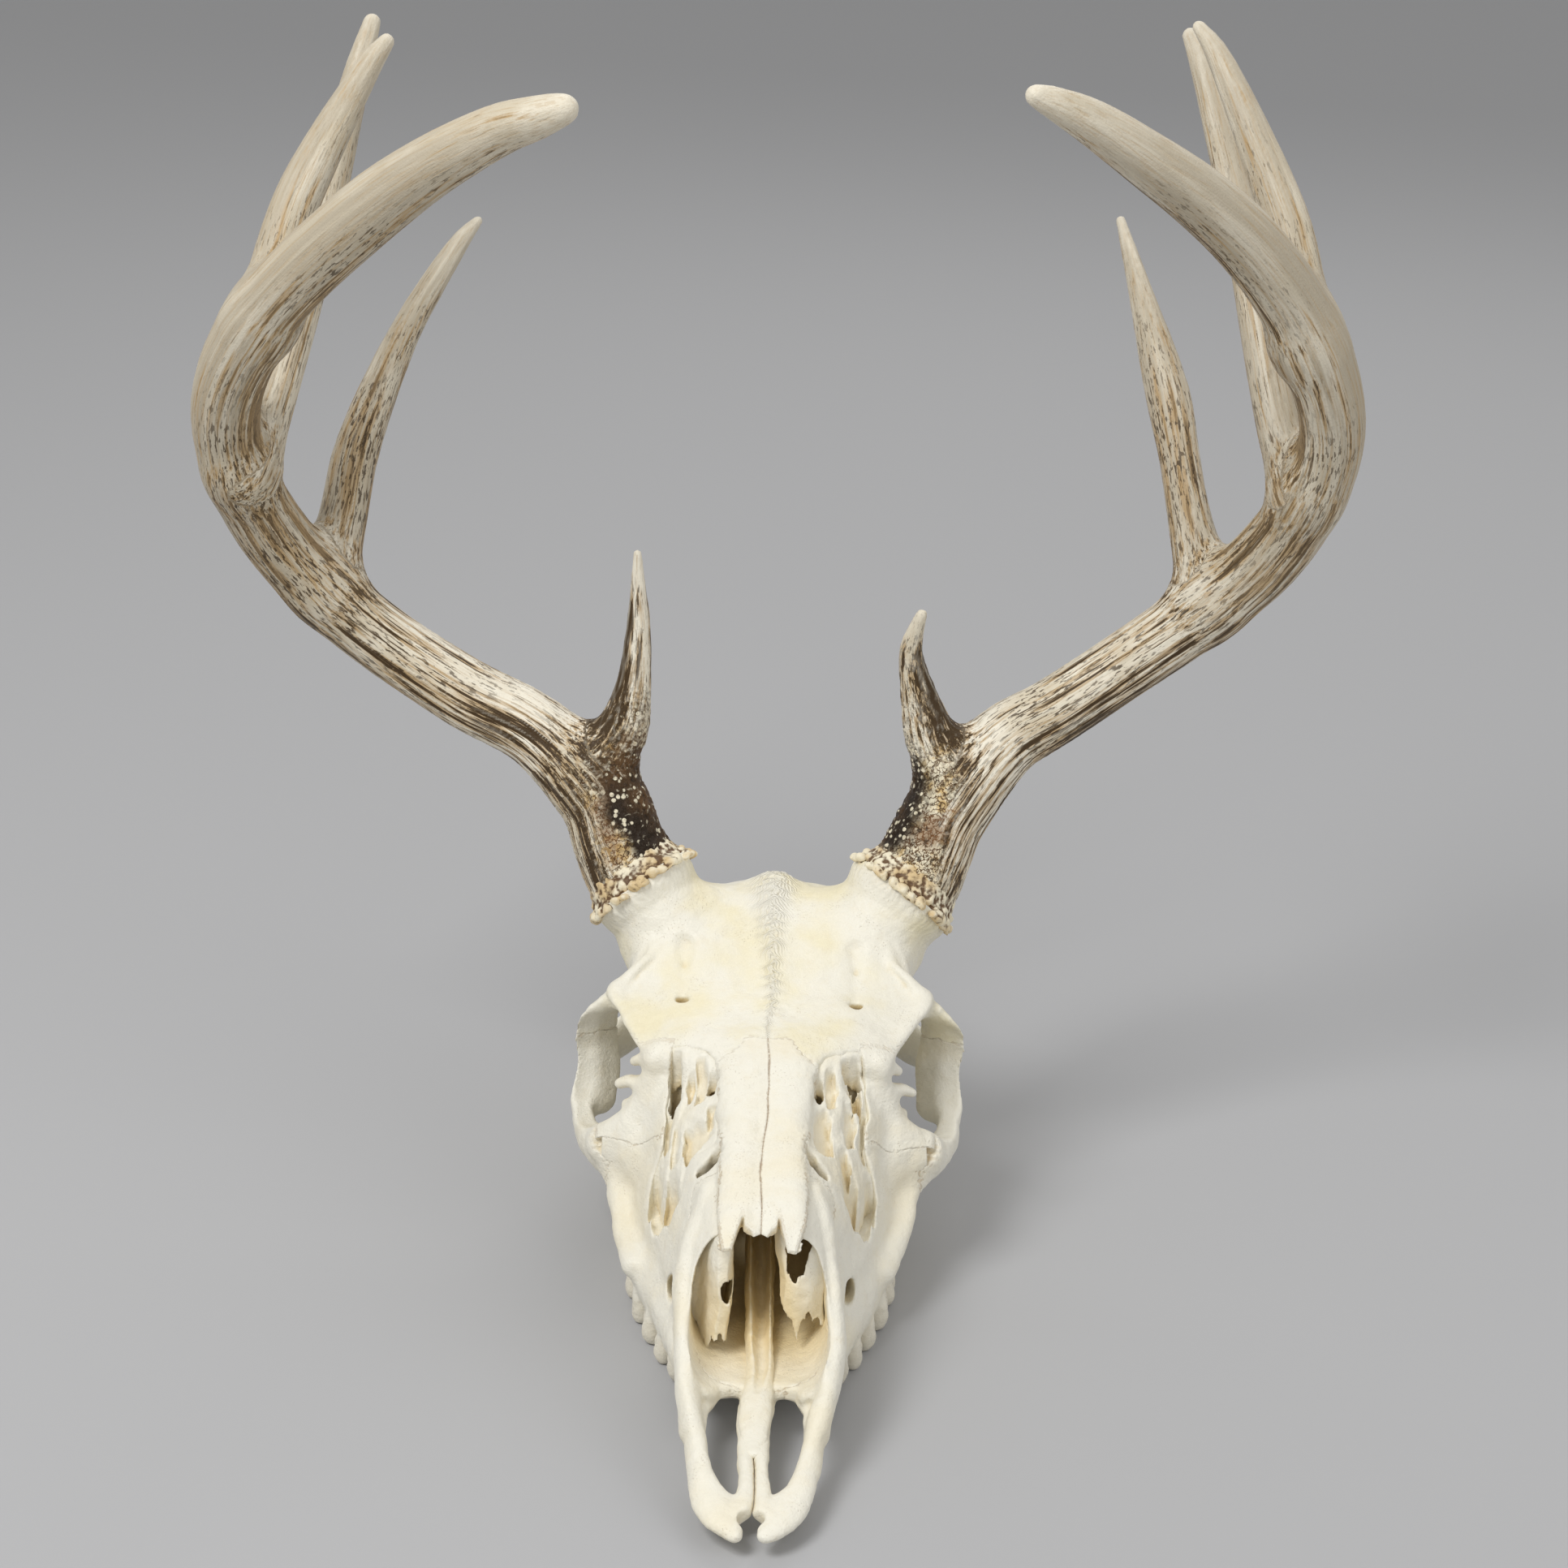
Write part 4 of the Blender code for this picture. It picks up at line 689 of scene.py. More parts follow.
# ---------------------------------------------------------------- from a field to a mesh
def surface_net(field, axes):
    """One point for each cell that the surface crosses, at the mean of the crossings on the cell's edges,
    and one quad for each grid edge that it crosses."""
    inside = field < 0
    shape = np.array(field.shape)
    strides = np.array([shape[1] * shape[2], shape[2], 1])
    origin = np.array([axis[0] for axis in axes], float)
    voxel = float(axes[0][1] - axes[0][0])
    flat = field.ravel()
    cells, places, quads_cells = [], [], []
    for k in range(3):
        lower = [slice(1, -1)] * 3
        upper = [slice(1, -1)] * 3
        lower[k], upper[k] = slice(0, -1), slice(1, None)
        crossing = np.argwhere(inside[tuple(lower)] != inside[tuple(upper)]) + 1
        crossing[:, k] -= 1
        at = crossing @ strides
        f0, f1 = flat[at], flat[at + strides[k]]
        place = crossing.astype(float)
        place[:, k] += f0 / (f0 - f1)
        i, j = [m for m in range(3) if m != k]
        around = np.stack([at, at - strides[i], at - strides[i] - strides[j], at - strides[j]], 1)
        turned = (f0 < 0) != (k == 1)
        quads_cells.append(np.where(turned[:, None], around[:, ::-1], around))
        cells.append(around.ravel())
        places.append(np.repeat(place, 4, 0))
    cells, places = np.concatenate(cells), np.concatenate(places)
    names, index = np.unique(cells, return_inverse=True)
    counts = np.bincount(index)
    points = np.stack([np.bincount(index, places[:, k]) / counts for k in range(3)], 1) * voxel + origin
    quads = np.searchsorted(names, np.concatenate(quads_cells))
    return points, quads[:, ::-1]


def largest_piece(points, quads):
    """Keeps the connected piece with the most corners: labels spread along the faces until they settle."""
    label = np.arange(len(points))
    settled = False
    while not settled:
        lower = label.copy()
        np.minimum.at(lower, quads.ravel(), np.repeat(label[quads].min(1), 4))
        lower = lower[lower]
        settled = (lower == label).all()
        label = lower
    keep = label == np.bincount(label).argmax()
    new_index = np.cumsum(keep) - 1
    return points[keep], new_index[quads[keep[quads[:, 0]]]]


def gathered(index, vectors, count):
    """The sum of the vectors that belong to each index."""
    return np.stack([np.bincount(index, column, count) for column in vectors.T], 1)


def relaxed(points, quads, share=0.5, times=2):
    """Each point moves a share of the way to the mean of its neighbours."""
    a, b = quads.ravel(), np.roll(quads, -1, axis=1).ravel()
    count = len(points)
    neighbours = np.bincount(a, minlength=count) + np.bincount(b, minlength=count)
    for _ in range(times):
        total = gathered(a, points[b], count) + gathered(b, points[a], count)
        points = points + share * (total / neighbours[:, None] - points)
    return points


def point_normals(points, quads):
    """The mean of the faces' normals round each point, from the cross product of each quad's diagonals."""
    p = points[quads]
    face = np.cross(p[:, 2] - p[:, 0], p[:, 3] - p[:, 1])
    total = gathered(quads.ravel(), np.repeat(face, 4, axis=0), len(points))
    return total / np.maximum(np.linalg.norm(total, axis=1, keepdims=True), 1e-12)


def bulge(points, quads, normals, times):
    """How far each point stands out from a smoothed copy of the surface. Crevices are negative. The shaders
    paint shade into the crevices and a highlight onto the raised places from it.
    """
    smooth = relaxed(points, quads, 0.9, times)
    return np.sum((points - smooth) * normals, axis=1)


def cell_number(cell, seed):
    """A whole number that looks random for each cell of a lattice, the same each time for one seed."""
    mixed = (cell[:, 0] * 73856093) ^ (cell[:, 1] * 19349663) ^ (cell[:, 2] * 83492791) ^ (seed * 2654435761)
    mixed = ((mixed ^ (mixed >> 13)) * 1274126177) & 0x7FFFFFFF
    return mixed ^ (mixed >> 15)


def corners(cell, f):
    """The eight corners of each point's cell, and the weight of each at the share f of the way across it."""
    for corner in range(8):
        step = np.array([corner & 1, corner >> 1 & 1, corner >> 2 & 1])
        yield cell + step, np.prod(np.where(step, f, 1 - f), axis=1)


def lattice_noise(points, size, seed):
    """Value noise from -1 to 1: a number at each corner of a lattice, blended with a quintic curve."""
    place = points / size
    cell = np.floor(place).astype(np.int64)
    f = place - cell
    f = f * f * f * (f * (f * 6 - 15) + 10)
    total = np.zeros(len(points))
    for corner, weight in corners(cell, f):
        total += weight * ((cell_number(corner, seed) & 0xFFFF) / 32767.5 - 1)
    return total


def layered_noise(points, size, seed, layers):
    """Value noise with finer and weaker layers over it."""
    return sum(lattice_noise(points, size / 2**k, seed + k) / 2**k for k in range(layers))


def sampled(field, axes, points):
    """The field at free places, by trilinear interpolation."""
    voxel = float(axes[0][1] - axes[0][0])
    place = (points - [axis[0] for axis in axes]) / voxel
    place = np.clip(place, 0, np.array(field.shape) - 1.001)
    cell = place.astype(int)
    total = np.zeros(len(points))
    for corner, weight in corners(cell, place - cell):
        total += weight * field[tuple(corner.T)]
    return total


def make_piece(name, points, faces, attributes, material, slot, *nodes):
    """A closed mesh of quads, placed in the world from points in the skull's axes, for the nodes given."""
    mesh = bpy.data.meshes.new(name)
    mesh.vertices.add(len(points))
    mesh.vertices.foreach_set("co", ((points - CENTRE) * MM).astype(np.float32).ravel())
    mesh.loops.add(faces.size)
    mesh.loops.foreach_set("vertex_index", faces.astype(np.int32).ravel())
    mesh.polygons.add(len(faces))
    mesh.polygons.foreach_set("loop_start", np.arange(0, faces.size, 4, dtype=np.int32))
    mesh.update(calc_edges=True)
    for word, values in attributes.items():
        kind, field = ("FLOAT", "value") if values.ndim == 1 else ("FLOAT_VECTOR", "vector")
        made = mesh.attributes.new(word, kind, "POINT")
        made.data.foreach_set(field, values.astype(np.float32).ravel())
    mesh.shade_smooth()
    piece = bpy.data.objects.new(name, mesh)
    bpy.context.scene.collection.objects.link(piece)
    piece.data.materials.append(material)
    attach(piece, "root")
    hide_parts(*nodes)


# ---------------------------------------------------------------- bones
def cavity_field(axes):
    """The inside of the nose alone."""
    field = far_field(axes)
    join(field, lofted(axes, NASAL_CAVITY), NO_REACH)
    return field


@cache
def coarse(word):
    """A coarse field of the left half and its axes, made once: the skull, its uncut skin or its cavity."""
    axes = grid_axes((0, -14, -2), (76, 302, 128), 2.0)
    if word == "cavity":
        return cavity_field(axes), axes
    return skull_field(axes, carved=word == "skull"), axes


def bone_surface(bone, voxel, whole):
    """The left bone's points and quads: the skull's field, cut back to what the bone claims first."""
    node = bone if whole else f"{bone}_left"
    low, high = (np.array(corner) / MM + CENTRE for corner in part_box(node))
    low[0] = 0.0
    axes = grid_axes(low - 4 * voxel - 2.0, high + 4 * voxel + 2.0, voxel)
    axes[0] = axes[0][axes[0] > -0.5 * voxel]
    field = skull_field(axes)
    x, s, z = spread(axes)
    earlier = []
    for claim in CLAIMS:
        distance = claim_distance(claim, x, s, z)
        if claim[0] == bone:
            break
        earlier.append(distance)
    edge = 0.15  # how far the bone's edges are rounded
    field = smooth_max(field, distance + SUTURE_GAP / 2, edge)
    for other in earlier:
        field = smooth_max(field, SUTURE_GAP / 2 - other, edge)
    layers = len(axes[0]) - 1 if whole else 4  # samples mirrored across the mid-line
    field = np.concatenate([field[layers:0:-1], field])
    axes[0] = np.concatenate([-axes[0][layers:0:-1], axes[0]])
    if not whole:
        field = np.maximum(field, (SUTURE_GAP / 4 - axes[0])[:, None, None])
    return surface_net(np.pad(field, 1, constant_values=FAR).astype(np.float32),
                       [np.concatenate([[a[0] - voxel], a, [a[-1] + voxel]]) for a in axes])


def weathered(points, normals, amount):
    """Bone isn't smooth: gentle waves, shallow pits and fine ripples push the surface in and out. The
    amount may differ from point to point."""
    broad = lattice_noise(points, 17.0, 3) * 0.45
    middle = layered_noise(points, 5.0, 11, 2) * 0.22
    fine = lattice_noise(points, 1.6, 23) * 0.07
    return points + normals * ((broad + middle + fine) * amount)[:, None]


def midline_waves(points):
    """The suture along the mid-line zigzags: everything near it shifts sideways together."""
    s = points[:, 1]
    zigzag = 0.9 * np.sin(s * 1.45 + 1.2 * np.sin(s * 0.37)) * np.clip((s - 153) / 25, 0, 1)
    zigzag += 0.5 * np.sin(s * 0.11)
    shift = zigzag * np.exp(-((points[:, 0] / 5.0) ** 2))
    return points + shift[:, None] * [1, 0, 0]


def suture_distance(bone, folded, points):
    """How far each point lies from its bone's end: the edge of its claim, or of one made before it."""
    nearest = folded.copy()
    for claim in CLAIMS:
        distance = claim_distance(claim, folded, points[:, 1], points[:, 2])
        if claim[0] == bone:
            return np.clip(np.minimum(nearest, -distance), 0, 9)
        nearest = np.minimum(nearest, distance)
    raise ValueError(bone)


def drifted(points):
    """Moves all that lies in a place by the same slow random push of about half a millimetre."""
    slow, faster = ([lattice_noise(points, size, seed + k) for k in range(3)]
                    for size, seed in ((21.0, 50), (7.0, 60)))
    push = np.stack([a + 0.5 * b for a, b in zip(slow, faster)], 1)
    return points + push * [0.75, 0.6, 0.6] * np.clip((points[:, 2:] - 2) / 6, 0, 1)


def ridge_share(points):
    """How far a place belongs to the raised suture along the top of the forehead, which widens backwards."""
    s = points[:, 1]
    half = np.interp(s, [153, 172, 190, 207, 222, 236], [0.5, 1.4, 2.4, 4.6, 6.6, 7.5])
    return np.exp(-((points[:, 0] / half) ** 2)) * (points[:, 2] > 70)


def chevron_phase(points):
    """How far back a place lies on the chevrons along the mid-line, in mm."""
    return points[:, 1] + 1.2 * np.abs(points[:, 0]) + 0.9 * lattice_noise(points, 2.6, 71)


def forehead_relief(points):
    """The raised suture's height: a low bank crossed by small chevrons that point forwards."""
    s = points[:, 1]
    rise = np.interp(s, [155, 180, 205, 222], [0.1, 0.3, 1.0, 1.6])
    waves = np.sin(chevron_phase(points) * math.tau / CHEVRON_STEP)
    return ridge_share(points) * (rise + np.interp(s, [150, 175], [0.0, 0.26]) * waves)


def pedicle_ridges(points):
    """Fine ridges round the top of the pedicle, where the bone spreads out under the burr."""
    side = np.sign(points[:, 0].mean())
    middle, axis, across, up = burr_frame(side)
    offset = points - middle
    above = offset @ axis
    angle = np.arctan2(offset @ up, offset @ across)
    share = np.clip((above + 9) / 6, 0, 1) * np.clip(-above / 2.0 - 0.4, 0, 1)
    ripple = np.sin(angle * 44 + 5 * lattice_noise(points, 4.0, 81)) + 0.8 * lattice_noise(points, 1.7, 82)
    return share * 0.16 * ripple * (np.abs(points[:, 0]) > 14)


def inside_share(points):
    """How far a place lies inside the nose or the gaps in front of the eyes: on the cavity's own wall, or
    deep under the uncut skin."""
    x, s, z = np.abs(points[:, 0]), points[:, 1], points[:, 2]
    depth, wall = (sampled(*coarse(word), np.stack([x, s, z], 1)) for word in ("skin", "cavity"))
    share = np.clip((-depth - 2.5) / 9.0, 0, 1) * np.clip((162 - s) / 5, 0, 1)
    share = share * np.clip((np.interp(s, [120, 150], [36, 31]) - x) / 3, 0, 1)
    lining = np.clip(1.8 - wall, 0, 1) * np.clip(0.35 + (s - 58) / 34, 0, 1)
    lining = lining * np.clip(-depth / 1.5 - 0.4, 0, 1)
    share = np.maximum(share, lining) * np.clip((s - 44) / 14, 0, 1) * np.clip((z - 12) / 2, 0, 1)
    return np.minimum(share * 8, 0.4) + 0.55 * share


def finish_bone(name, bone, points, quads, look, material, node):
    """Gives a bone its attributes for colour, then its waves and, on the forehead, its relief."""
    normals = point_normals(points, quads)
    folded = np.abs(points[:, 0])
    attributes = {}
    # How closed in each place is, 3 and 11 mm out along its normal. The shader paints shade into the hollows
    # from the first.
    for word, step in (("hollow", 3.0), ("deep", 11.0)):
        ahead = points + normals * step
        ahead[:, 0] = np.abs(ahead[:, 0])
        attributes[word] = np.clip(1 - sampled(*coarse("skull"), ahead) / step, 0, 1.5)
    # The share of painted golden shade deep in the openings: from how closed in a place is, and how far
    # inside the nose it lies.
    attributes["deep"] = np.maximum(0.55 * attributes["deep"], inside_share(points))
    attributes["suture"] = suture_distance(bone, folded, points)
    crack_width = 0.20 + 0.12 * lattice_noise(points * [0, 1, 0], 5.0, 91)
    attributes["crack"] = np.exp(-((folded / crack_width) ** 2)) * (bone == "nasal")
    s, z = points[:, 1], points[:, 2]
    attributes["enamel"] = np.clip((9.5 - z) / 1.5, 0, 1) * np.clip((s - 84) / 2, 0, 1) * (s < 166)
    attributes["ridge"] = ridge_share(points) * (bone == "frontal")
    attributes["chevron"] = chevron_phase(points)
    near = np.clip(attributes["suture"] / 2.0, 0.12, 1)
    points = weathered(points, normals, look.wear * near)
    if bone == "frontal":
        points = points + normals * (look.crest * forehead_relief(points) + pedicle_ridges(points))[:, None]
    points = drifted(midline_waves(points))
    attributes["bulge"] = bulge(points, quads, normals, 5)
    points[:, 2] = np.maximum(points[:, 2], 0.0)
    make_piece(name, points, quads, attributes, material, SLOTS[bone], node)


def make_bones(names, look, material):
    """Each bone is made on the left and mirrored, but for the braincase, which is one piece."""
    for bone in names:
        whole = bone == "braincase"
        points, quads = bone_surface(bone, BONE_VOXELS[bone], whole)
        points, quads = largest_piece(points, quads)
        points = relaxed(points, quads)
        for side, word in ((1, "_left"), (-1, "_right")):
            node = bone if whole else bone + word
            faces = quads if side > 0 else quads[:, ::-1]
            finish_bone(f"{node}_bone", bone, points * [side, 1, 1], faces, look, material, node)
            if whole:
                break


def nose_piece(name, field, axes, material, node, side=1):
    """A piece inside the nose. Its hollows, for painted shade, are read from its own field, and a painted
    golden shade deepens on it with the depth under the skin."""
    points, quads = surface_net(field.astype(np.float32), axes)
    points = relaxed(points, quads, times=1)
    normals = point_normals(points, quads)
    depth = -sampled(*coarse("skin"), np.abs(points))
    attributes = {
        "hollow": np.clip(1 - sampled(field, axes, points + normals * 3.0) / 3.0, 0, 1.5),
        # The share of painted golden shade, growing with the depth under the skin.
        "deep": 0.4 + 0.55 * np.clip((depth - 1.9) / np.where(points[:, 1] > 104, 5.0, 11.0), 0, 1),
        "suture": np.full(len(points), 9.0),
    }
    if side < 0:
        points, quads, normals = points * [-1, 1, 1], quads[:, ::-1], normals * [-1, 1, 1]
    points = drifted(points + normals * (lattice_noise(points, 2.2, 31) * 0.16)[:, None])
    attributes["bulge"] = bulge(points, quads, normals, 3)
    make_piece(name, points, quads, attributes, material, "nasal_bone_inside", node)


def vomer_field(axes):
    """A bar along the floor of the nose, with a trough between two rails that opens as it goes back."""
    field = far_field(axes)
    join(field, swept(axes, VOMER), 1.0)
    carve(field, swept(axes, VOMER_TROUGH), 0.8)
    return field


def gap_slab(x, s, skin, side):
    """The broken bone in the gap in front of the eye: a slab just under the skin, raised along its ridges,
    with steep pits sunk into it. A pit deeper than the slab is a hole."""
    top = 1.5 + 0.35 * np.sin(x * 0.9 + 1.3 * np.sin(s * 0.31)) + 0.3 * np.sin(s * 0.57 + side)
    ragged = 0.18 * np.sin(s * 1.3 + 2 * np.sin(x * 1.1)) + 0.14 * np.sin(x * 2.3 - s * 0.8) - 0.25
    for line in RIDGES[side]:
        top = top - 1.0 * np.clip(1.5 - line_distance(x, s, line), 0, 1)
    for outline, deep in PITS[side]:
        share = np.clip(0.5 - (outline_distance(x, s, np.asarray(outline, float)) + ragged) / 1.1, 0, 1)
        top = np.maximum(top, 1.2 + deep * share * share * (3 - 2 * share) * (share > 0))
    return np.maximum(skin + top, -skin - SLAB_DEPTH)


def scroll_field(axes, side):
    """Bone inside the nose, on the half grid: upright leaves, twice as thick as the half given here, along
    a bent line in its mouth, and the broken slab in the gap in front of the eye."""
    x, s, z = spread(axes)
    line, lower, upper = NOSE_LEAVES[side]
    bent_x = x + 0.5 * np.sin(z * 0.24 + side) + 0.12 * (z - 36) * 0.5
    bent_s = s + 1.0 * np.sin(z * 0.17 + 1.0) - 0.20 * (z - 36)
    jag = 0.9 * np.sin(x * 2.3 + s * 0.4 + side) + 0.5 * np.sin(x * 5.1 + s)
    leaves = line_distance(bent_x, bent_s, line) - LEAF_HALF
    low = np.interp(x, *np.asarray(lower, float).T) + jag
    high = np.interp(x, *np.asarray(upper, float).T) + 0.7 * jag
    leaves = np.maximum(leaves, np.maximum(low - z, z - high))
    if side < 0:
        hole = np.sqrt(((x - 8.9) / 1.5) ** 2 + ((z - 40.0) / 3.4) ** 2) - 1
        leaves = np.maximum(leaves, np.where(s < 80, -hole * 1.5, -FAR))
    skin = skull_field(axes, carved=False)
    slab = gap_slab(x, s, skin, side)
    plan, floor = (np.asarray(rows, float) for rows in VACUITY[0])
    gap = np.maximum(outline_distance(x, s, plan) - 0.9, np.interp(s, *floor.T) - z)
    return np.minimum(np.maximum(leaves, cavity_field(axes) - 1.0), np.maximum(slab, gap))


# ---------------------------------------------------------------- antlers
def burr_frame(side):
    """The middle of a burr, its axis, and two directions across it."""
    axis = BURR_AXIS * [side, 1, 1]
    across = np.cross(axis, [0, 1, 0])
    across /= np.linalg.norm(across)
    return BURR_PLACE * [side, 1, 1], axis, across, np.cross(axis, across)


def burr_floor(axes, side):
    """How far a place lies below the face where the antler stands on its pedicle."""
    middle, axis, *_ = burr_frame(side)
    x, s, z = spread(axes)
    below = (middle @ axis - BURR_THICKNESS / 2) - (x * axis[0] + s * axis[1] + z * axis[2])
    return below.astype(np.float32)


def antler_field(axes, beam, tines, side):
    """The beam and its tines as one field, webbed at the forks and cut off at the burr's underside."""
    field = far_field(axes)
    join(field, swept(axes, beam, between=4), NO_REACH)
    for tine in tines:
        join(field, swept(axes, tine, between=4), FORK_JOIN)
    return np.maximum(field, burr_floor(axes, side))


def burr_field(axes, side, rng):
    """A disc round the antler's foot with two rings of knobs of uneven size on it."""
    field = far_field(axes)
    middle, axis, across, up = burr_frame(side)
    disc = tuple((tuple(middle + axis * h), r) for h, r in ((-1.7, 17.2), (-0.2, 17.0), (1.6, 15.0)))
    join(field, swept(axes, disc, between=1), 2.0)
    # (how many, how far out, lowest, highest, least radius, greatest radius)
    rings = ((30, BURR_RADIUS + 0.8, -1.3, 0.4, 1.5, 2.5), (28, BURR_RADIUS - 1.7, 0.8, 2.6, 1.0, 2.2))
    for knobs, reach, low, high, least, most in rings:
        for k in range(knobs):
            angle = math.tau * (k + rng.uniform(-0.34, 0.34)) / knobs
            out = across * math.cos(angle) + up * math.sin(angle)
            radius = rng.uniform(least, most)
            place = middle + out * (reach - radius + rng.uniform(-0.9, 0.6)) + axis * rng.uniform(low, high)
            radii = radius * rng.uniform(0.8, 1.25, 3)
            join(field, egg(axes, place, radii), 0.6)
    return np.maximum(field, burr_floor(axes, side))


def along_antler(points, beam, tines):
    """For each point its place on a straightened antler, its nearest path's number and the way to the tip.
    The place is across the path twice and then along it from the burr, with the paths set side by side."""
    best = np.full(len(points), np.inf)
    straight, which, tip = np.zeros((len(points), 3)), np.zeros(len(points), int), np.zeros(len(points))
    beam_centres = smoothed_rows(station_rows(beam), 6)[:, :3]
    beam_length = np.concatenate([[0], np.cumsum(np.linalg.norm(np.diff(beam_centres, axis=0), axis=1))])
    for number, chain in enumerate((beam, *tines)):
        rows = smoothed_rows(station_rows(chain), 6)
        centres, radius = rows[:, :3], np.maximum(rows[:, 3], THINNEST)
        lengths, ahead, sides, ups = path_frames(centres)
        start = 0.0
        if number:
            start = beam_length[np.argmin(np.linalg.norm(beam_centres - centres[0], axis=1))]
        reached = start + np.concatenate([[0], np.cumsum(lengths)])
        for k in range(len(lengths)):
            offset = points - centres[k]
            c = offset @ ahead[k]
            t = np.clip(c / lengths[k], 0, 1)
            a, b = offset @ sides[k], offset @ ups[k]
            over = c - t * lengths[k]
            gap = np.sqrt(a * a + b * b + over * over) - (radius[k] + t * (radius[k + 1] - radius[k]))
            closer = gap < best
            best = np.where(closer, gap, best)
            length = reached[k] + t * lengths[k]
            straight[closer] = np.stack([a + PATH_SPACING * number, b, length], 1)[closer]
            which[closer] = number
            tip[closer] = reached[-1] - length[closer]
    return straight, which, tip


def pearls(points, size, seed):
    """Round warts: each cell of a lattice holds one ball at a random place, and a point stands as high as
    the tallest ball that it is in, 1 - (distance / radius)^2."""
    cell = np.floor(points / size).astype(np.int64)
    height = np.zeros(len(points))
    for step in np.ndindex(3, 3, 3):
        c = cell + np.array(step) - 1
        mixed = cell_number(c, seed)
        jitter = np.stack([mixed & 255, mixed >> 8 & 255, mixed >> 16 & 255], 1) / 255.0
        radius = size * (0.34 + 0.22 * jitter[:, 0])
        gap = np.linalg.norm(points - (c + jitter) * size, axis=1)
        height = np.maximum(height, (1 - (gap / radius) ** 2) * radius / (0.56 * size))
    return np.clip(height, 0, 1)


def antler_relief(points, straight, along, above, inner, look, seed):
    """How far the surface stands out: long grooves that fade upwards, and near the burr pearls on the
    inner side and short crooked ridges, 1 - 2 |noise|, between them and on the front."""
    low = np.exp(-along / 120.0)
    ridges = 1 - 2 * np.abs(lattice_noise(straight / [2.1, 2.1, 34.0], 1.0, seed))
    finer = 1 - 2 * np.abs(lattice_noise(straight / [1.1, 1.1, 15.0], 1.0, seed + 5))
    groove = 0.6 * ridges + 0.4 * finer
    zone = np.clip(1.3 - above / 44.0 + 0.25 * lattice_noise(points, 9.0, seed + 3), 0, 1)
    zone = zone * np.clip(0.80 + 1.0 * inner, 0, 1)
    warts = np.maximum(pearls(points, 2.5, seed + 9), 0.8 * pearls(points, 1.7, seed + 10))
    worms = 1 - 2.4 * np.abs(lattice_noise(points, 2.3, seed + 12))
    warts = np.clip(np.maximum(warts, 0.75 * worms), 0, 1)
    broad = lattice_noise(straight / [13, 13, 45], 1.0, seed + 2) * 0.55
    height = groove * (0.10 + look.grooves * low) * (1 - 0.7 * zone) + warts * look.pearls * zone
    height += broad * np.clip(along / 60, 0, 1) * np.exp(-along / 400)
    return height, groove, warts, zone


def darkness(number, along, tip, inner, under):
    """How much of the surface is stained: most at the foot and on the brow tine, least at the tips. Painted
    shade adds to it where the surface faces down and inwards.
    """
    beam = np.interp(along, [0, 45, 90, 160, 260, 420], [0.58, 0.52, 0.46, 0.42, 0.32, 0.14])
    # Stain along the beam, with painted shade on the undersides and inner sides.
    share = beam + 0.16 * inner * np.exp(-along / 60) + 0.24 * under * np.clip(along / 150, 0, 1)
    # The brow tine is the darkest, then the second one and those above it. On these, painted shade adds
    # where the surface faces down.
    share = np.where(number == 1, 0.92 + 0.04 * np.clip(tip / 60, 0, 1) - 0.55 * np.clip(inner, 0, 1), share)
    share = np.where(number == 2, 0.20 + 0.30 * np.clip(tip / 90, 0, 1) + 0.1 * under, share)
    share = np.where(number >= 3, 0.18 + 0.20 * np.clip(tip / 80, 0, 1) + 0.1 * under, share)
    return share * np.clip(0.35 + tip / 22, 0, 1)


def grid_round(nodes, margin, voxel):
    """A grid round the boxes of some nodes."""
    ends = np.array([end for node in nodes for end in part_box(node)]) / MM + CENTRE
    return grid_axes(ends.min(0) - margin, ends.max(0) + margin, voxel)


def make_antler(word, side, beam, tines, look, material, seed):
    """The beam and tines as one piece. The foot's node belongs to the burr."""
    foot = f"antler_{word}_base"
    nodes = [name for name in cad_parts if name.startswith(f"antler_{word}_") and name != foot]
    axes = grid_round((foot, *nodes), 5, ANTLER_VOXEL)
    points, quads = surface_net(antler_field(axes, beam, tines, side), axes)
    points, quads = largest_piece(points, quads)
    points = relaxed(points, quads)
    normals = point_normals(points, quads)
    straight, number, tip = along_antler(points, beam, tines)
    along = straight[:, 2]
    middle, axis, *_ = burr_frame(side)
    above = (points - middle) @ axis
    inner = -side * normals[:, 0]
    facing = 0.8 * inner - 0.6 * normals[:, 1]
    # Painted shade: how far the surface faces down and inwards.
    under = -normals[:, 2] * 0.8 + inner * 0.6
    height, groove, warts, zone = antler_relief(points, straight, along, above, inner, look, seed)
    points = points + normals * (height * np.clip(along / 4.0, 0.25, 1))[:, None]
    stained = inner + (0.30 if side < 0 else -0.10) + 0.35 * layered_noise(points, 8.0, seed + 20, 2)
    stack = np.stack([darkness(number, along, tip, facing, under), stained, zone], 1)
    dark, stained, zone = relaxed(stack, quads, 0.9, 30).T
    attributes = {
        "straight": straight, "groove": groove, "pearl": warts, "zone": zone, "inner": stained, "dark": dark,
        "bulge": bulge(points, quads, normals, 5),
    }
    make_piece(f"antler_{word}", points, quads, attributes, material, "antler_middle", *nodes)


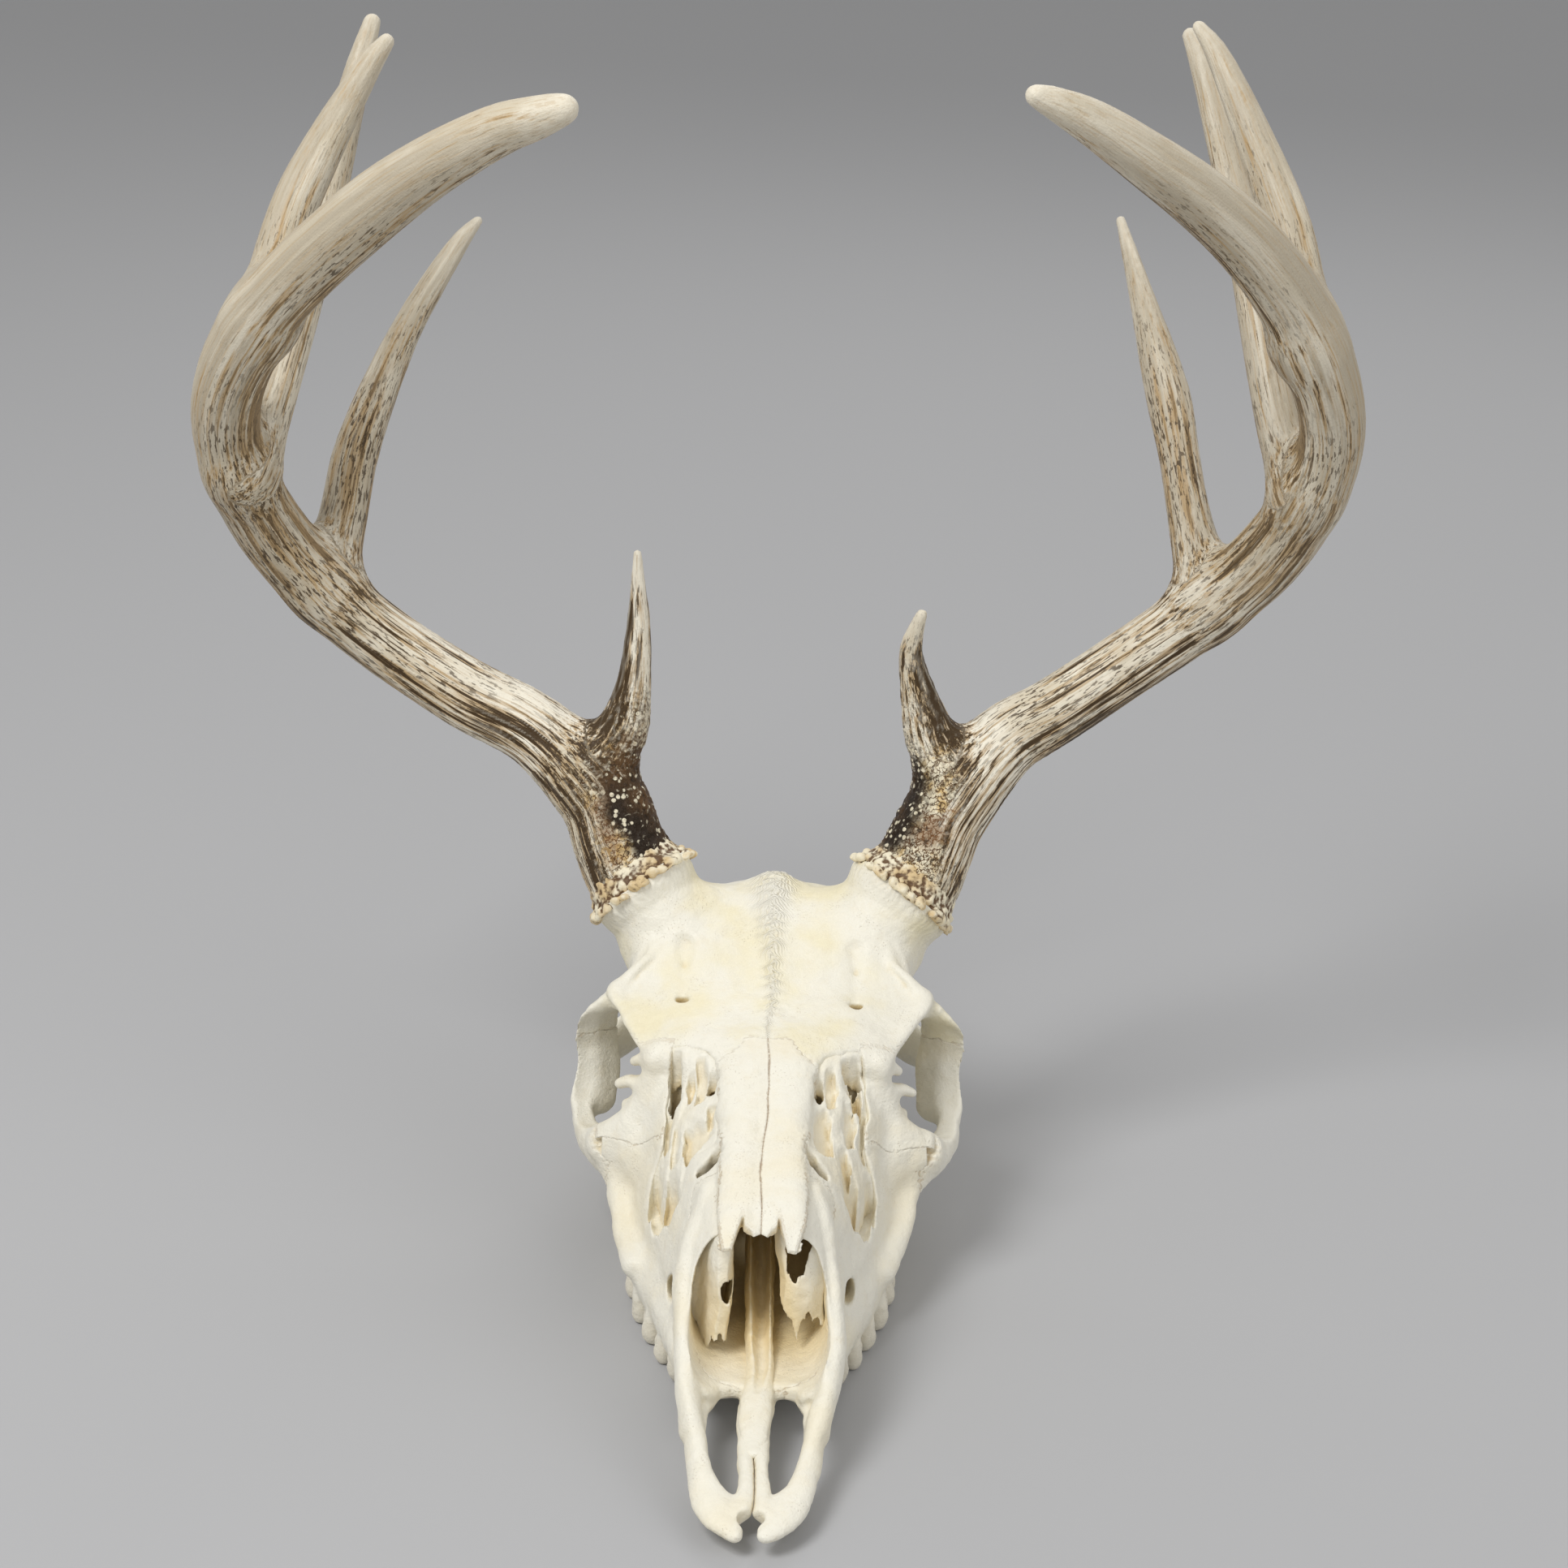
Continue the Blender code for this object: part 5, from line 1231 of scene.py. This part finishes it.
def make_burr(word, side, material, seed):
    """The crown of knobs round an antler's foot."""
    foot = f"antler_{word}_base"
    axes = grid_round((foot,), 6, BURR_VOXEL)
    points, quads = surface_net(burr_field(axes, side, np.random.default_rng(seed)), axes)
    points, quads = largest_piece(points, quads)
    points = relaxed(points, quads, times=1)
    normals = point_normals(points, quads)
    points = points + normals * (0.42 * layered_noise(points, 2.0, seed, 2))[:, None]
    attributes = {"bulge": bulge(points, quads, normals, 8)}
    make_piece(f"burr_{word}", points, quads, attributes, material, "antler_base", foot)


# ---------------------------------------------------------------- materials
def add_node(tree, kind, inputs=(), **settings):
    """A new node, with its inputs linked or set by their name or number."""
    node = tree.nodes.new(kind)
    for word, value in settings.items():
        setattr(node, word, value)
    for word, value in dict(inputs).items():
        if isinstance(value, Value):
            tree.links.new(value.socket, node.inputs[word])
        else:
            node.inputs[word].default_value = value
    return node


class Value:
    """What a socket of a node tree gives. Each step of reckoning with it adds a node to the tree."""

    def __init__(self, socket):
        self.socket = socket

    def then(self, kind, inputs, output=0, **settings):
        return Value(add_node(self.socket.id_data, kind, inputs, **settings).outputs[output])

    def math(self, operation, other=0.0, **settings):
        return self.then("ShaderNodeMath", {0: self, 1: other}, operation=operation, **settings)

    def __add__(self, other):
        return self.math("ADD", other)

    def __sub__(self, other):
        return self.math("SUBTRACT", other)

    def __mul__(self, other):
        return self.math("MULTIPLY", other)

    def noise(self, scale, detail=3.0, rough=0.5):
        """Noise at this place."""
        inputs = {"Vector": self, "Scale": scale, "Detail": detail, "Roughness": rough}
        return self.then("ShaderNodeTexNoise", inputs, "Fac")

    def cells(self, scale):
        """How far this place is from the nearest of many scattered points."""
        return self.then("ShaderNodeTexVoronoi", {"Vector": self, "Scale": scale}, "Distance")

    def stretched(self, share):
        """This place, squeezed along the antler to a share, which draws out the noise that is read there."""
        return self.then("ShaderNodeMapping", {"Vector": self, "Scale": (1.0, 1.0, share)}, "Vector")

    def ramp(self, low, high, to_low=0.0, to_high=1.0):
        """This value eased from one range to another."""
        inputs = {"Value": self, "From Min": low, "From Max": high, "To Min": to_low, "To Max": to_high}
        return self.then("ShaderNodeMapRange", inputs, "Result", interpolation_type="SMOOTHSTEP")

    def mix(self, a, b):
        """A colour this share of the way from colour a to colour b."""
        colours = {word: c if isinstance(c, Value) else (*c[:3], 1.0) for word, c in ((6, a), (7, b))}
        return self.then("ShaderNodeMix", {0: self, **colours}, 2, data_type="RGBA")


def attribute(tree, name, output="Fac"):
    """One of the mesh's own attributes."""
    return Value(add_node(tree, "ShaderNodeAttribute", attribute_name=name).outputs[output])


def object_place(tree):
    """The place in the object's own coordinates, in metres."""
    return Value(add_node(tree, "ShaderNodeTexCoord").outputs["Object"])


def start_material(name):
    """A new material and its node tree."""
    made = bpy.data.materials.new(name)
    made.use_nodes = True
    return made, made.node_tree


def link_shader(tree, colour, rough, height, strength, depth):
    """Gives a material its colour, its roughness and a bump of this strength and depth in metres."""
    bump = add_node(tree, "ShaderNodeBump", {"Strength": strength, "Distance": depth, "Height": height})
    shader = tree.nodes["Principled BSDF"]
    for value, word in ((colour, "Base Color"), (rough, "Roughness"), (Value(bump.outputs[0]), "Normal")):
        tree.links.new(value.socket, shader.inputs[word])


BONE_COLOURS = ("Pale", "Tint", "Warm", "Inner", "Stain", "Brown", "Enamel")
BONE_RESULTS = {"Colour": "NodeSocketColor", "Roughness": "NodeSocketFloat", "Height": "NodeSocketFloat"}


def bone_group():
    """Near white bone with warm clouds, stained along its sutures and finely pored, with painted shade in
    its hollows and crevices, painted golden shade deep in its openings and a painted highlight on its raised
    places.
    """
    if "bleached_bone" in bpy.data.node_groups:
        return bpy.data.node_groups["bleached_bone"]
    tree = bpy.data.node_groups.new("bleached_bone", "ShaderNodeTree")
    for word in BONE_COLOURS:
        tree.interface.new_socket(word, in_out="INPUT", socket_type="NodeSocketColor")
    for word, kind in BONE_RESULTS.items():
        tree.interface.new_socket(word, in_out="OUTPUT", socket_type=kind)
    given = add_node(tree, "NodeGroupInput").outputs
    pale, tint, warm, inner, stain, brown, enamel = (Value(given[word]) for word in BONE_COLOURS)
    place, bulges, crowns = object_place(tree), attribute(tree, "bulge"), attribute(tree, "enamel")
    colour = place.noise(38.0, 4.0).ramp(0.42, 0.70, 0.0, 0.85).mix(pale, tint)
    colour = place.noise(230.0, 4.0, 0.6).ramp(0.48, 0.78, 0.0, 0.16).mix(colour, warm)
    # Painted shade: the more closed in a place is, the warmer and darker it is tinted.
    colour = attribute(tree, "hollow").ramp(0.30, 1.1, 0.0, 0.35).mix(colour, warm)
    # Painted golden shade deep inside the openings.
    colour = attribute(tree, "deep").ramp(0.40, 1.15, 0.0, 0.9).mix(colour, inner)
    uneven = place.noise(900.0, 2.0).ramp(0.3, 0.7, -0.25, 0.35)
    seam = (attribute(tree, "suture") + uneven).ramp(0.05, 0.40, 1.0, 0.0)
    broken = place.noise(75.0, 2.0).ramp(0.42, 0.64, 0.10, 0.55)
    colour = (seam * broken).mix(colour, stain)
    # Painted shade in the crevices and painted highlight on the raised places, from how far each place
    # stands out.
    colour = bulges.ramp(-0.05, -0.30, 0.0, 0.45).mix(colour, warm)
    colour = bulges.ramp(0.03, 0.22, 0.0, 0.5).mix(colour, pale)
    colour = (attribute(tree, "crack") * 0.8).mix(colour, brown)
    sparse = place.noise(120.0, 2.0).ramp(0.52, 0.66)
    pores = place.cells(1200.0).ramp(0.10, 0.26, 1.0, 0.0) * sparse
    colour = (pores * 0.3).mix(colour, stain)
    colour = crowns.mix(colour, enamel)
    rough = place.noise(300.0).ramp(0.3, 0.7, 0.40, 0.58) - crowns * 0.22
    # Height: grain, seams and pores, and on the raised suture of the forehead small chevrons.
    wavy = attribute(tree, "chevron") * 4.6 + place.noise(420.0, 2.0) * 5.0
    chevrons = wavy.math("SINE") * (attribute(tree, "ridge") * 1.3)
    grain = place.noise(1300.0, 4.0, 0.6) + place.noise(330.0) * 1.6
    height = grain - seam * 0.7 - pores + chevrons
    add_node(tree, "NodeGroupOutput", {"Colour": colour, "Roughness": rough, "Height": height})
    return tree


def bone_material(name, look, tint):
    """Bleached bone, with its own tint in the clouds."""
    made, tree = start_material(name)
    values = (look.pale, tint, look.warm, look.inner, look.stain, look.brown, look.enamel)
    colours = {word: (*value, 1.0) for word, value in zip(BONE_COLOURS, values)}
    bone = add_node(tree, "ShaderNodeGroup", colours, node_tree=bone_group())
    link_shader(tree, *(Value(bone.outputs[word]) for word in BONE_RESULTS), 0.5, 0.0005)
    return made


def antler_material(look):
    """Antler: ivory with long brown streaks, golden and dark between the pearls of its foot, with a painted
    highlight on its ridges and painted shade in the crevices between its pearls.
    """
    made, tree = start_material("antler")
    place, straight = object_place(tree), attribute(tree, "straight", "Vector")
    words = ("groove", "pearl", "zone", "dark", "bulge", "inner")
    groove, pearl, zone, dark, bulges, inner = (attribute(tree, word) for word in words)
    long, short = straight.stretched(0.03), straight.stretched(0.2)
    streaks = long.noise(0.66, 4.0, 0.6)
    fine = long.noise(1.5, 3.0, 0.6)
    bundles = long.noise(0.17, 2.0)
    flecks = short.noise(1.25, 3.0, 0.6)
    patches = place.noise(34.0)
    worn = patches.ramp(0.42, 0.66).math("ADD", dark.ramp(0.10, 0.42, 0.55, 0.0), use_clamp=True)
    ground = worn.mix(look.pale, look.grey)
    reach = straight.then("ShaderNodeSeparateXYZ", {0: straight}, 2)
    middle = reach.ramp(95.0, 180.0) * reach.ramp(330.0, 410.0, 1.0, 0.0)
    middle = middle * long.noise(0.25, 3.0, 0.6).ramp(0.34, 0.60, 0.45, 1.0)
    ground = middle.mix(ground, look.horn)
    ground = fine.ramp(0.48, 0.66, 0.0, 0.35).mix(ground, look.tan)
    # A streak shows where its noise passes a level that falls as the share of stain and painted shade rises.
    stain = dark.ramp(0.0, 1.0, -0.23, 0.21) + bundles.ramp(0.32, 0.68, -0.075, 0.075) - groove * 0.05
    broad, thin = streaks + stain, fine + stain * 0.7
    colour = broad.ramp(0.40, 0.56, 0.0, 0.85).mix(ground, look.tan)
    lines = broad.ramp(0.55, 0.585).math("MAXIMUM", thin.ramp(0.565, 0.60, 0.0, 0.9))
    lines = lines * dark.ramp(0.08, 0.40, 0.30, 1.0) * middle.ramp(0.2, 1.0, 1.0, 0.45)
    colour = lines.mix(colour, look.brown)
    speck = (flecks + dark * 0.20).ramp(0.63, 0.69) * dark.ramp(0.15, 0.45, 0.1, 1.0)
    colour = (speck * patches.ramp(0.34, 0.6, 0.2, 0.9)).mix(colour, look.brown)
    # Painted highlight: the raised ridges and pearls are lightened.
    colour = bulges.ramp(0.06, 0.32, 0.0, 0.5).mix(colour, look.pale)
    # The foot: crooked brown lines over golden bone on its front, pale dots over dark stain on its inner
    # side.
    crumbs = place.noise(760.0, 4.0, 0.65)
    worms = (place.noise(480.0, 3.0, 0.6) - 0.5).math("ABSOLUTE").ramp(0.012, 0.055)
    some = place.noise(120.0, 2.0).ramp(0.36, 0.56, 0.06, 0.34)
    dots = (place.cells(420.0) - some).ramp(-0.05, 0.04, 1.0, 0.0)
    golden = place.noise(140.0).ramp(0.40, 0.60).mix(look.gold, look.cream)
    golden = pearl.ramp(0.35, 0.75, 0.0, 0.8).mix(golden, look.cream)
    front = worms.mix(look.umber, golden)
    front = place.noise(60.0).ramp(0.46, 0.64, 0.0, 0.7).mix(front, look.rust)
    pit = patches.ramp(0.40, 0.62).mix(look.dark, look.umber)
    side = dots.math("MAXIMUM", pearl.ramp(0.62, 0.85, 0.0, 0.9)).mix(pit, look.cream)
    inner = inner.ramp(0.25, 0.62)
    warted = inner.mix(front, side)
    # Painted shade: the crevices between the pearls are darkened.
    warted = bulges.ramp(-0.03, -0.22, 0.0, 0.7).mix(warted, look.dark)
    edge = zone + (crumbs - 0.5) * 1.2
    colour = edge.ramp(0.25, 0.65).mix(colour, warted)
    tree.nodes["Principled BSDF"].inputs["Specular IOR Level"].default_value = 0.3
    warts = crumbs + worms + dots * inner * 1.5
    height = lines * -0.9 + fine * -0.8 + place.noise(1500.0) * 0.5 + warts * zone * 1.6
    link_shader(tree, colour, fine.ramp(0.3, 0.7, 0.36, 0.56), height, 0.6, 0.0005)
    return made


def burr_material(look):
    """The burr: cream knobs, with painted shade in the crevices between them and a painted highlight on
    their tops.
    """
    made, tree = start_material("burr")
    place = object_place(tree)
    crumbs = place.noise(600.0, 4.0, 0.65)
    tone = place.noise(90.0).ramp(0.40, 0.60, 0.0, 0.8).mix(look.cream, look.gold)
    # Painted shade in the crevices and painted highlight on the tops of the knobs, from how far each place
    # stands out.
    rise = attribute(tree, "bulge") + (crumbs - 0.5) * 0.7
    colour = rise.ramp(-0.12, 0.12).mix(look.umber, tone)
    colour = rise.ramp(0.26, 0.7).mix(colour, look.ivory)
    height = crumbs + place.noise(1700.0) * 0.4
    link_shader(tree, colour, crumbs.ramp(0.3, 0.7, 0.42, 0.62), height, 0.6, 0.0006)
    return made


# ---------------------------------------------------------------- properties
def colour_property(name, description, value):
    return FloatVectorProperty(
        name=name, description=description, default=value, subtype="COLOR", size=3, min=0, max=1)


def amount_property(name, description, value, **settings):
    return FloatProperty(name=name, description=description, default=value, min=0, **settings)


class DEERSKULL_PG_bone(bpy.types.PropertyGroup):
    """The bleached bone's relief and colours."""

    wear: amount_property("Wear", "Height of the waves in the bone's surface, mm", 0.8)
    crest: amount_property("Crest", "Height of the forehead's raised suture, mm", 1.0)
    # Pale is also the colour of the painted highlight on the raised places.
    pale: colour_property("Pale", "The bone's main colour", (0.87, 0.835, 0.72))
    cream: colour_property("Cream", "Warmer clouds on most bones", (0.86, 0.79, 0.61))
    ivory: colour_property("Ivory", "Warmer clouds on the forehead", (0.86, 0.78, 0.53))
    # Warm is also the colour of the painted shade in the hollows and crevices.
    warm: colour_property("Warm", "Mottling and shallow hollows", (0.76, 0.63, 0.38))
    # Inner is the colour of the painted golden shade deep inside the openings.
    inner: colour_property("Inner", "Bone deep inside the openings", (0.86, 0.68, 0.35))
    stain: colour_property("Stain", "Sutures and pores", (0.50, 0.37, 0.21))
    brown: colour_property("Brown", "Crack between the nasal bones", (0.30, 0.17, 0.07))
    enamel: colour_property("Enamel", "Crowns of the cheek teeth", (0.80, 0.75, 0.62))


class DEERSKULL_PG_antler(bpy.types.PropertyGroup):
    """The antlers' relief and colours."""

    pearls: amount_property("Pearls", "Height of the pearls at the foot, mm", 0.95)
    grooves: amount_property("Grooves", "Depth of the grooves at the foot, mm", 0.42)
    # Pale is also the colour of the painted highlight on the ridges and pearls.
    pale: colour_property("Pale", "Polished upper beam", (0.90, 0.84, 0.70))
    grey: colour_property("Grey", "Greyer patches", (0.68, 0.60, 0.45))
    horn: colour_property("Horn", "Middle of the beam", (0.50, 0.435, 0.325))
    tan: colour_property("Tan", "Wash round the streaks", (0.46, 0.30, 0.13))
    brown: colour_property("Brown", "Streaks and flecks", (0.060, 0.033, 0.010))
    rust: colour_property("Rust", "Reddish stain at the foot", (0.22, 0.09, 0.025))
    # Umber is also the colour of the painted shade in the burr's crevices.
    umber: colour_property("Umber", "Lighter pits between the pearls", (0.13, 0.065, 0.022))
    # Dark is also the colour of the painted shade between the pearls.
    dark: colour_property("Dark", "Darkest stain at the foot", (0.024, 0.013, 0.005))
    gold: colour_property("Gold", "Stained pearls", (0.66, 0.46, 0.20))
    cream: colour_property("Cream", "Clean pearls", (0.88, 0.80, 0.60))
    # Ivory is the colour of the painted highlight on the tops of the burr's knobs.
    ivory: colour_property("Ivory", "Clean knobs of the burr", (0.88, 0.83, 0.68))


class DEERSKULL_PG_stage(bpy.types.PropertyGroup):
    """The floor, the light and the camera."""

    floor: colour_property("Floor", "Colour of the plain floor", (0.44, 0.44, 0.445))
    key: amount_property("Key light", "Power of the main soft light", 18.0, unit="POWER")
    fill: amount_property("Fill light", "Power of the fill light", 5.0, unit="POWER")
    sky: amount_property("Sky", "Brightness of the surroundings", 0.48)
    lens: FloatProperty(name="Lens", description="Focal length in millimetres", default=74.09, min=1)


# ---------------------------------------------------------------- operators
class BoneMaker:
    """What the operators that make bones share. Each has its bones, their material's name and its tint."""

    def execute(self, context):
        look = context.scene.deerskull_bone
        make_bones(self.bones, look, bone_material(self.material, look, getattr(look, self.tint)))
        return {"FINISHED"}


class DEERSKULL_OT_face_bones(BoneMaker, bpy.types.Operator):
    """Build the nasals, premaxillae, lacrimals, cheek bones and maxillae with their teeth"""

    bl_idname = "deerskull.face_bones"
    bl_label = "Face bones"
    bones = ("nasal", "premaxilla", "lacrimal", "zygomatic", "maxilla")
    material, tint = "face_bone", "cream"


class DEERSKULL_OT_forehead(BoneMaker, bpy.types.Operator):
    """Build the two frontal bones with their pedicles"""

    bl_idname = "deerskull.forehead"
    bl_label = "Forehead"
    bones = ("frontal",)
    material, tint = "forehead_bone", "ivory"


class DEERSKULL_OT_braincase(BoneMaker, bpy.types.Operator):
    """Build the braincase"""

    bl_idname = "deerskull.braincase"
    bl_label = "Braincase"
    bones = ("braincase",)
    material, tint = "braincase_bone", "cream"


class DEERSKULL_OT_nose(bpy.types.Operator):
    """Build the vomer and the thin scrolls of bone inside the nose"""

    bl_idname = "deerskull.nose"
    bl_label = "Inside of the nose"

    def execute(self, context):
        look = context.scene.deerskull_bone
        inner = bone_material("inner_bone", look, look.cream)
        axes = grid_axes((-7, 28, 9), (7, 162, 60), VOMER_VOXEL)
        nose_piece("vomer_bone", vomer_field(axes), axes, inner, "vomer")
        axes = grid_axes((3, 66, 18), (36, 162, 80), SCROLL_VOXEL)
        for side, word in ((1, "left"), (-1, "right")):
            scroll = scroll_field(axes, side)
            nose_piece(f"scrolls_{word}", scroll, axes, inner, f"turbinate_{word}", side=side)
        return {"FINISHED"}


class DEERSKULL_OT_antlers(bpy.types.Operator):
    """Build both antlers"""

    bl_idname = "deerskull.antlers"
    bl_label = "Antlers"

    def execute(self, context):
        look = context.scene.deerskull_antler
        material = antler_material(look)
        make_antler("right", -1, RIGHT_BEAM, RIGHT_TINES, look, material, 41)
        make_antler("left", 1, LEFT_BEAM, LEFT_TINES, look, material, 42)
        knobs = burr_material(look)
        make_burr("right", -1, knobs, 51)
        make_burr("left", 1, knobs, 52)
        return {"FINISHED"}


# The camera is fitted to the photograph: where it stands, how far it looks down and how far it is rolled.
CAMERA_PLACE = (0.0051, -0.9167, 0.5057)
LOOK_DOWN = math.radians(21.0)
ROLL = math.radians(1.7)
FLOOR_SIZE = 12.0  # metres


def soft_light(name, place, target, size, power):
    """A square lamp that looks from its place to a target."""
    lamp = bpy.data.lights.new(name, "AREA")
    lamp.size, lamp.energy = size, power
    made = bpy.data.objects.new(name, lamp)
    bpy.context.scene.collection.objects.link(made)
    back = np.array(place, float) - target
    back /= np.linalg.norm(back)
    right = np.cross([0, 0, 1.0], back)
    right /= np.linalg.norm(right)
    up = np.cross(back, right)
    turn = np.stack([right, up, back], 1).tolist()
    made.matrix_world = Matrix([*((*row, p) for row, p in zip(turn, place)), (0, 0, 0, 1)])


class DEERSKULL_OT_stage(bpy.types.Operator):
    """Lay the floor, hang the lights and set the camera"""

    bl_idname = "deerskull.stage"
    bl_label = "Stage"

    def execute(self, context):
        scene, stage = context.scene, context.scene.deerskull_stage
        mesh = bpy.data.meshes.new("floor")
        end = FLOOR_SIZE / 2
        corners = [(-end, -end, 0), (end, -end, 0), (end, end, 0), (-end, end, 0)]
        mesh.from_pydata(corners, [], [(0, 1, 2, 3)])
        floor = bpy.data.objects.new("floor", mesh)
        scene.collection.objects.link(floor)
        plain, tree = start_material("floor_paint")
        shader = tree.nodes["Principled BSDF"]
        shader.inputs["Base Color"].default_value = (*stage.floor, 1)
        shader.inputs["Roughness"].default_value = 0.9
        mesh.materials.append(plain)
        scene.view_settings.view_transform = "Standard"
        soft_light("key", (-0.75, -0.8, 1.5), (0, 0, 0.1), 0.7, stage.key)
        soft_light("fill", (1.2, -0.8, 0.9), (0, 0, 0.1), 1.2, stage.fill)
        soft_light("back", (0.3, 1.3, 1.3), (0, 0, 0.2), 1.0, stage.fill)
        world = bpy.data.worlds.new("studio")
        scene.world = world
        world.use_nodes = True
        sky = world.node_tree.nodes["Background"].inputs
        sky["Color"].default_value = (1, 1, 1, 1)
        sky["Strength"].default_value = stage.sky
        eye = bpy.data.cameras.new("camera")
        eye.lens, eye.sensor_width, eye.clip_start = stage.lens, 36.0, 0.01
        camera = bpy.data.objects.new("camera", eye)
        scene.collection.objects.link(camera)
        turn = Matrix.Rotation(math.pi / 2 - LOOK_DOWN, 4, "X") @ Matrix.Rotation(ROLL, 4, "Z")
        camera.matrix_world = Matrix.Translation(CAMERA_PLACE) @ turn
        scene.camera = camera
        return {"FINISHED"}


class DEERSKULL_PT_panel(bpy.types.Panel):
    """Lists the groups of pieces"""

    bl_label = "Deer Skull"
    bl_idname = "DEERSKULL_PT_panel"
    bl_space_type = "VIEW_3D"
    bl_region_type = "UI"
    bl_category = "Deer Skull"

    def draw(self, context):
        for word in GROUPS:
            group = getattr(context.scene, word)
            box = self.layout.box()
            for name in group.__annotations__:
                box.prop(group, name)
        for operator in OPERATORS:
            self.layout.operator(operator.bl_idname)


OPERATORS = (
    DEERSKULL_OT_face_bones,
    DEERSKULL_OT_forehead,
    DEERSKULL_OT_braincase,
    DEERSKULL_OT_nose,
    DEERSKULL_OT_antlers,
    DEERSKULL_OT_stage,
)
GROUPS = {
    "deerskull_bone": DEERSKULL_PG_bone,
    "deerskull_antler": DEERSKULL_PG_antler,
    "deerskull_stage": DEERSKULL_PG_stage,
}


def register():
    for made in (*GROUPS.values(), *OPERATORS, DEERSKULL_PT_panel):
        bpy.utils.register_class(made)
    for word, group in GROUPS.items():
        setattr(bpy.types.Scene, word, PointerProperty(type=group))


def unregister():
    for word in GROUPS:
        delattr(bpy.types.Scene, word)
    for made in (DEERSKULL_PT_panel, *reversed(OPERATORS), *GROUPS.values()):
        bpy.utils.unregister_class(made)


def main():
    for startup in ("Cube", "Light", "Camera"):
        if startup in bpy.data.objects:
            bpy.data.objects.remove(bpy.data.objects[startup])
    register()
    for operator in OPERATORS:
        group, word = operator.bl_idname.split(".")
        getattr(getattr(bpy.ops, group), word)()
    bpy.context.view_layer.update()


if __name__ == "__main__":
    main()
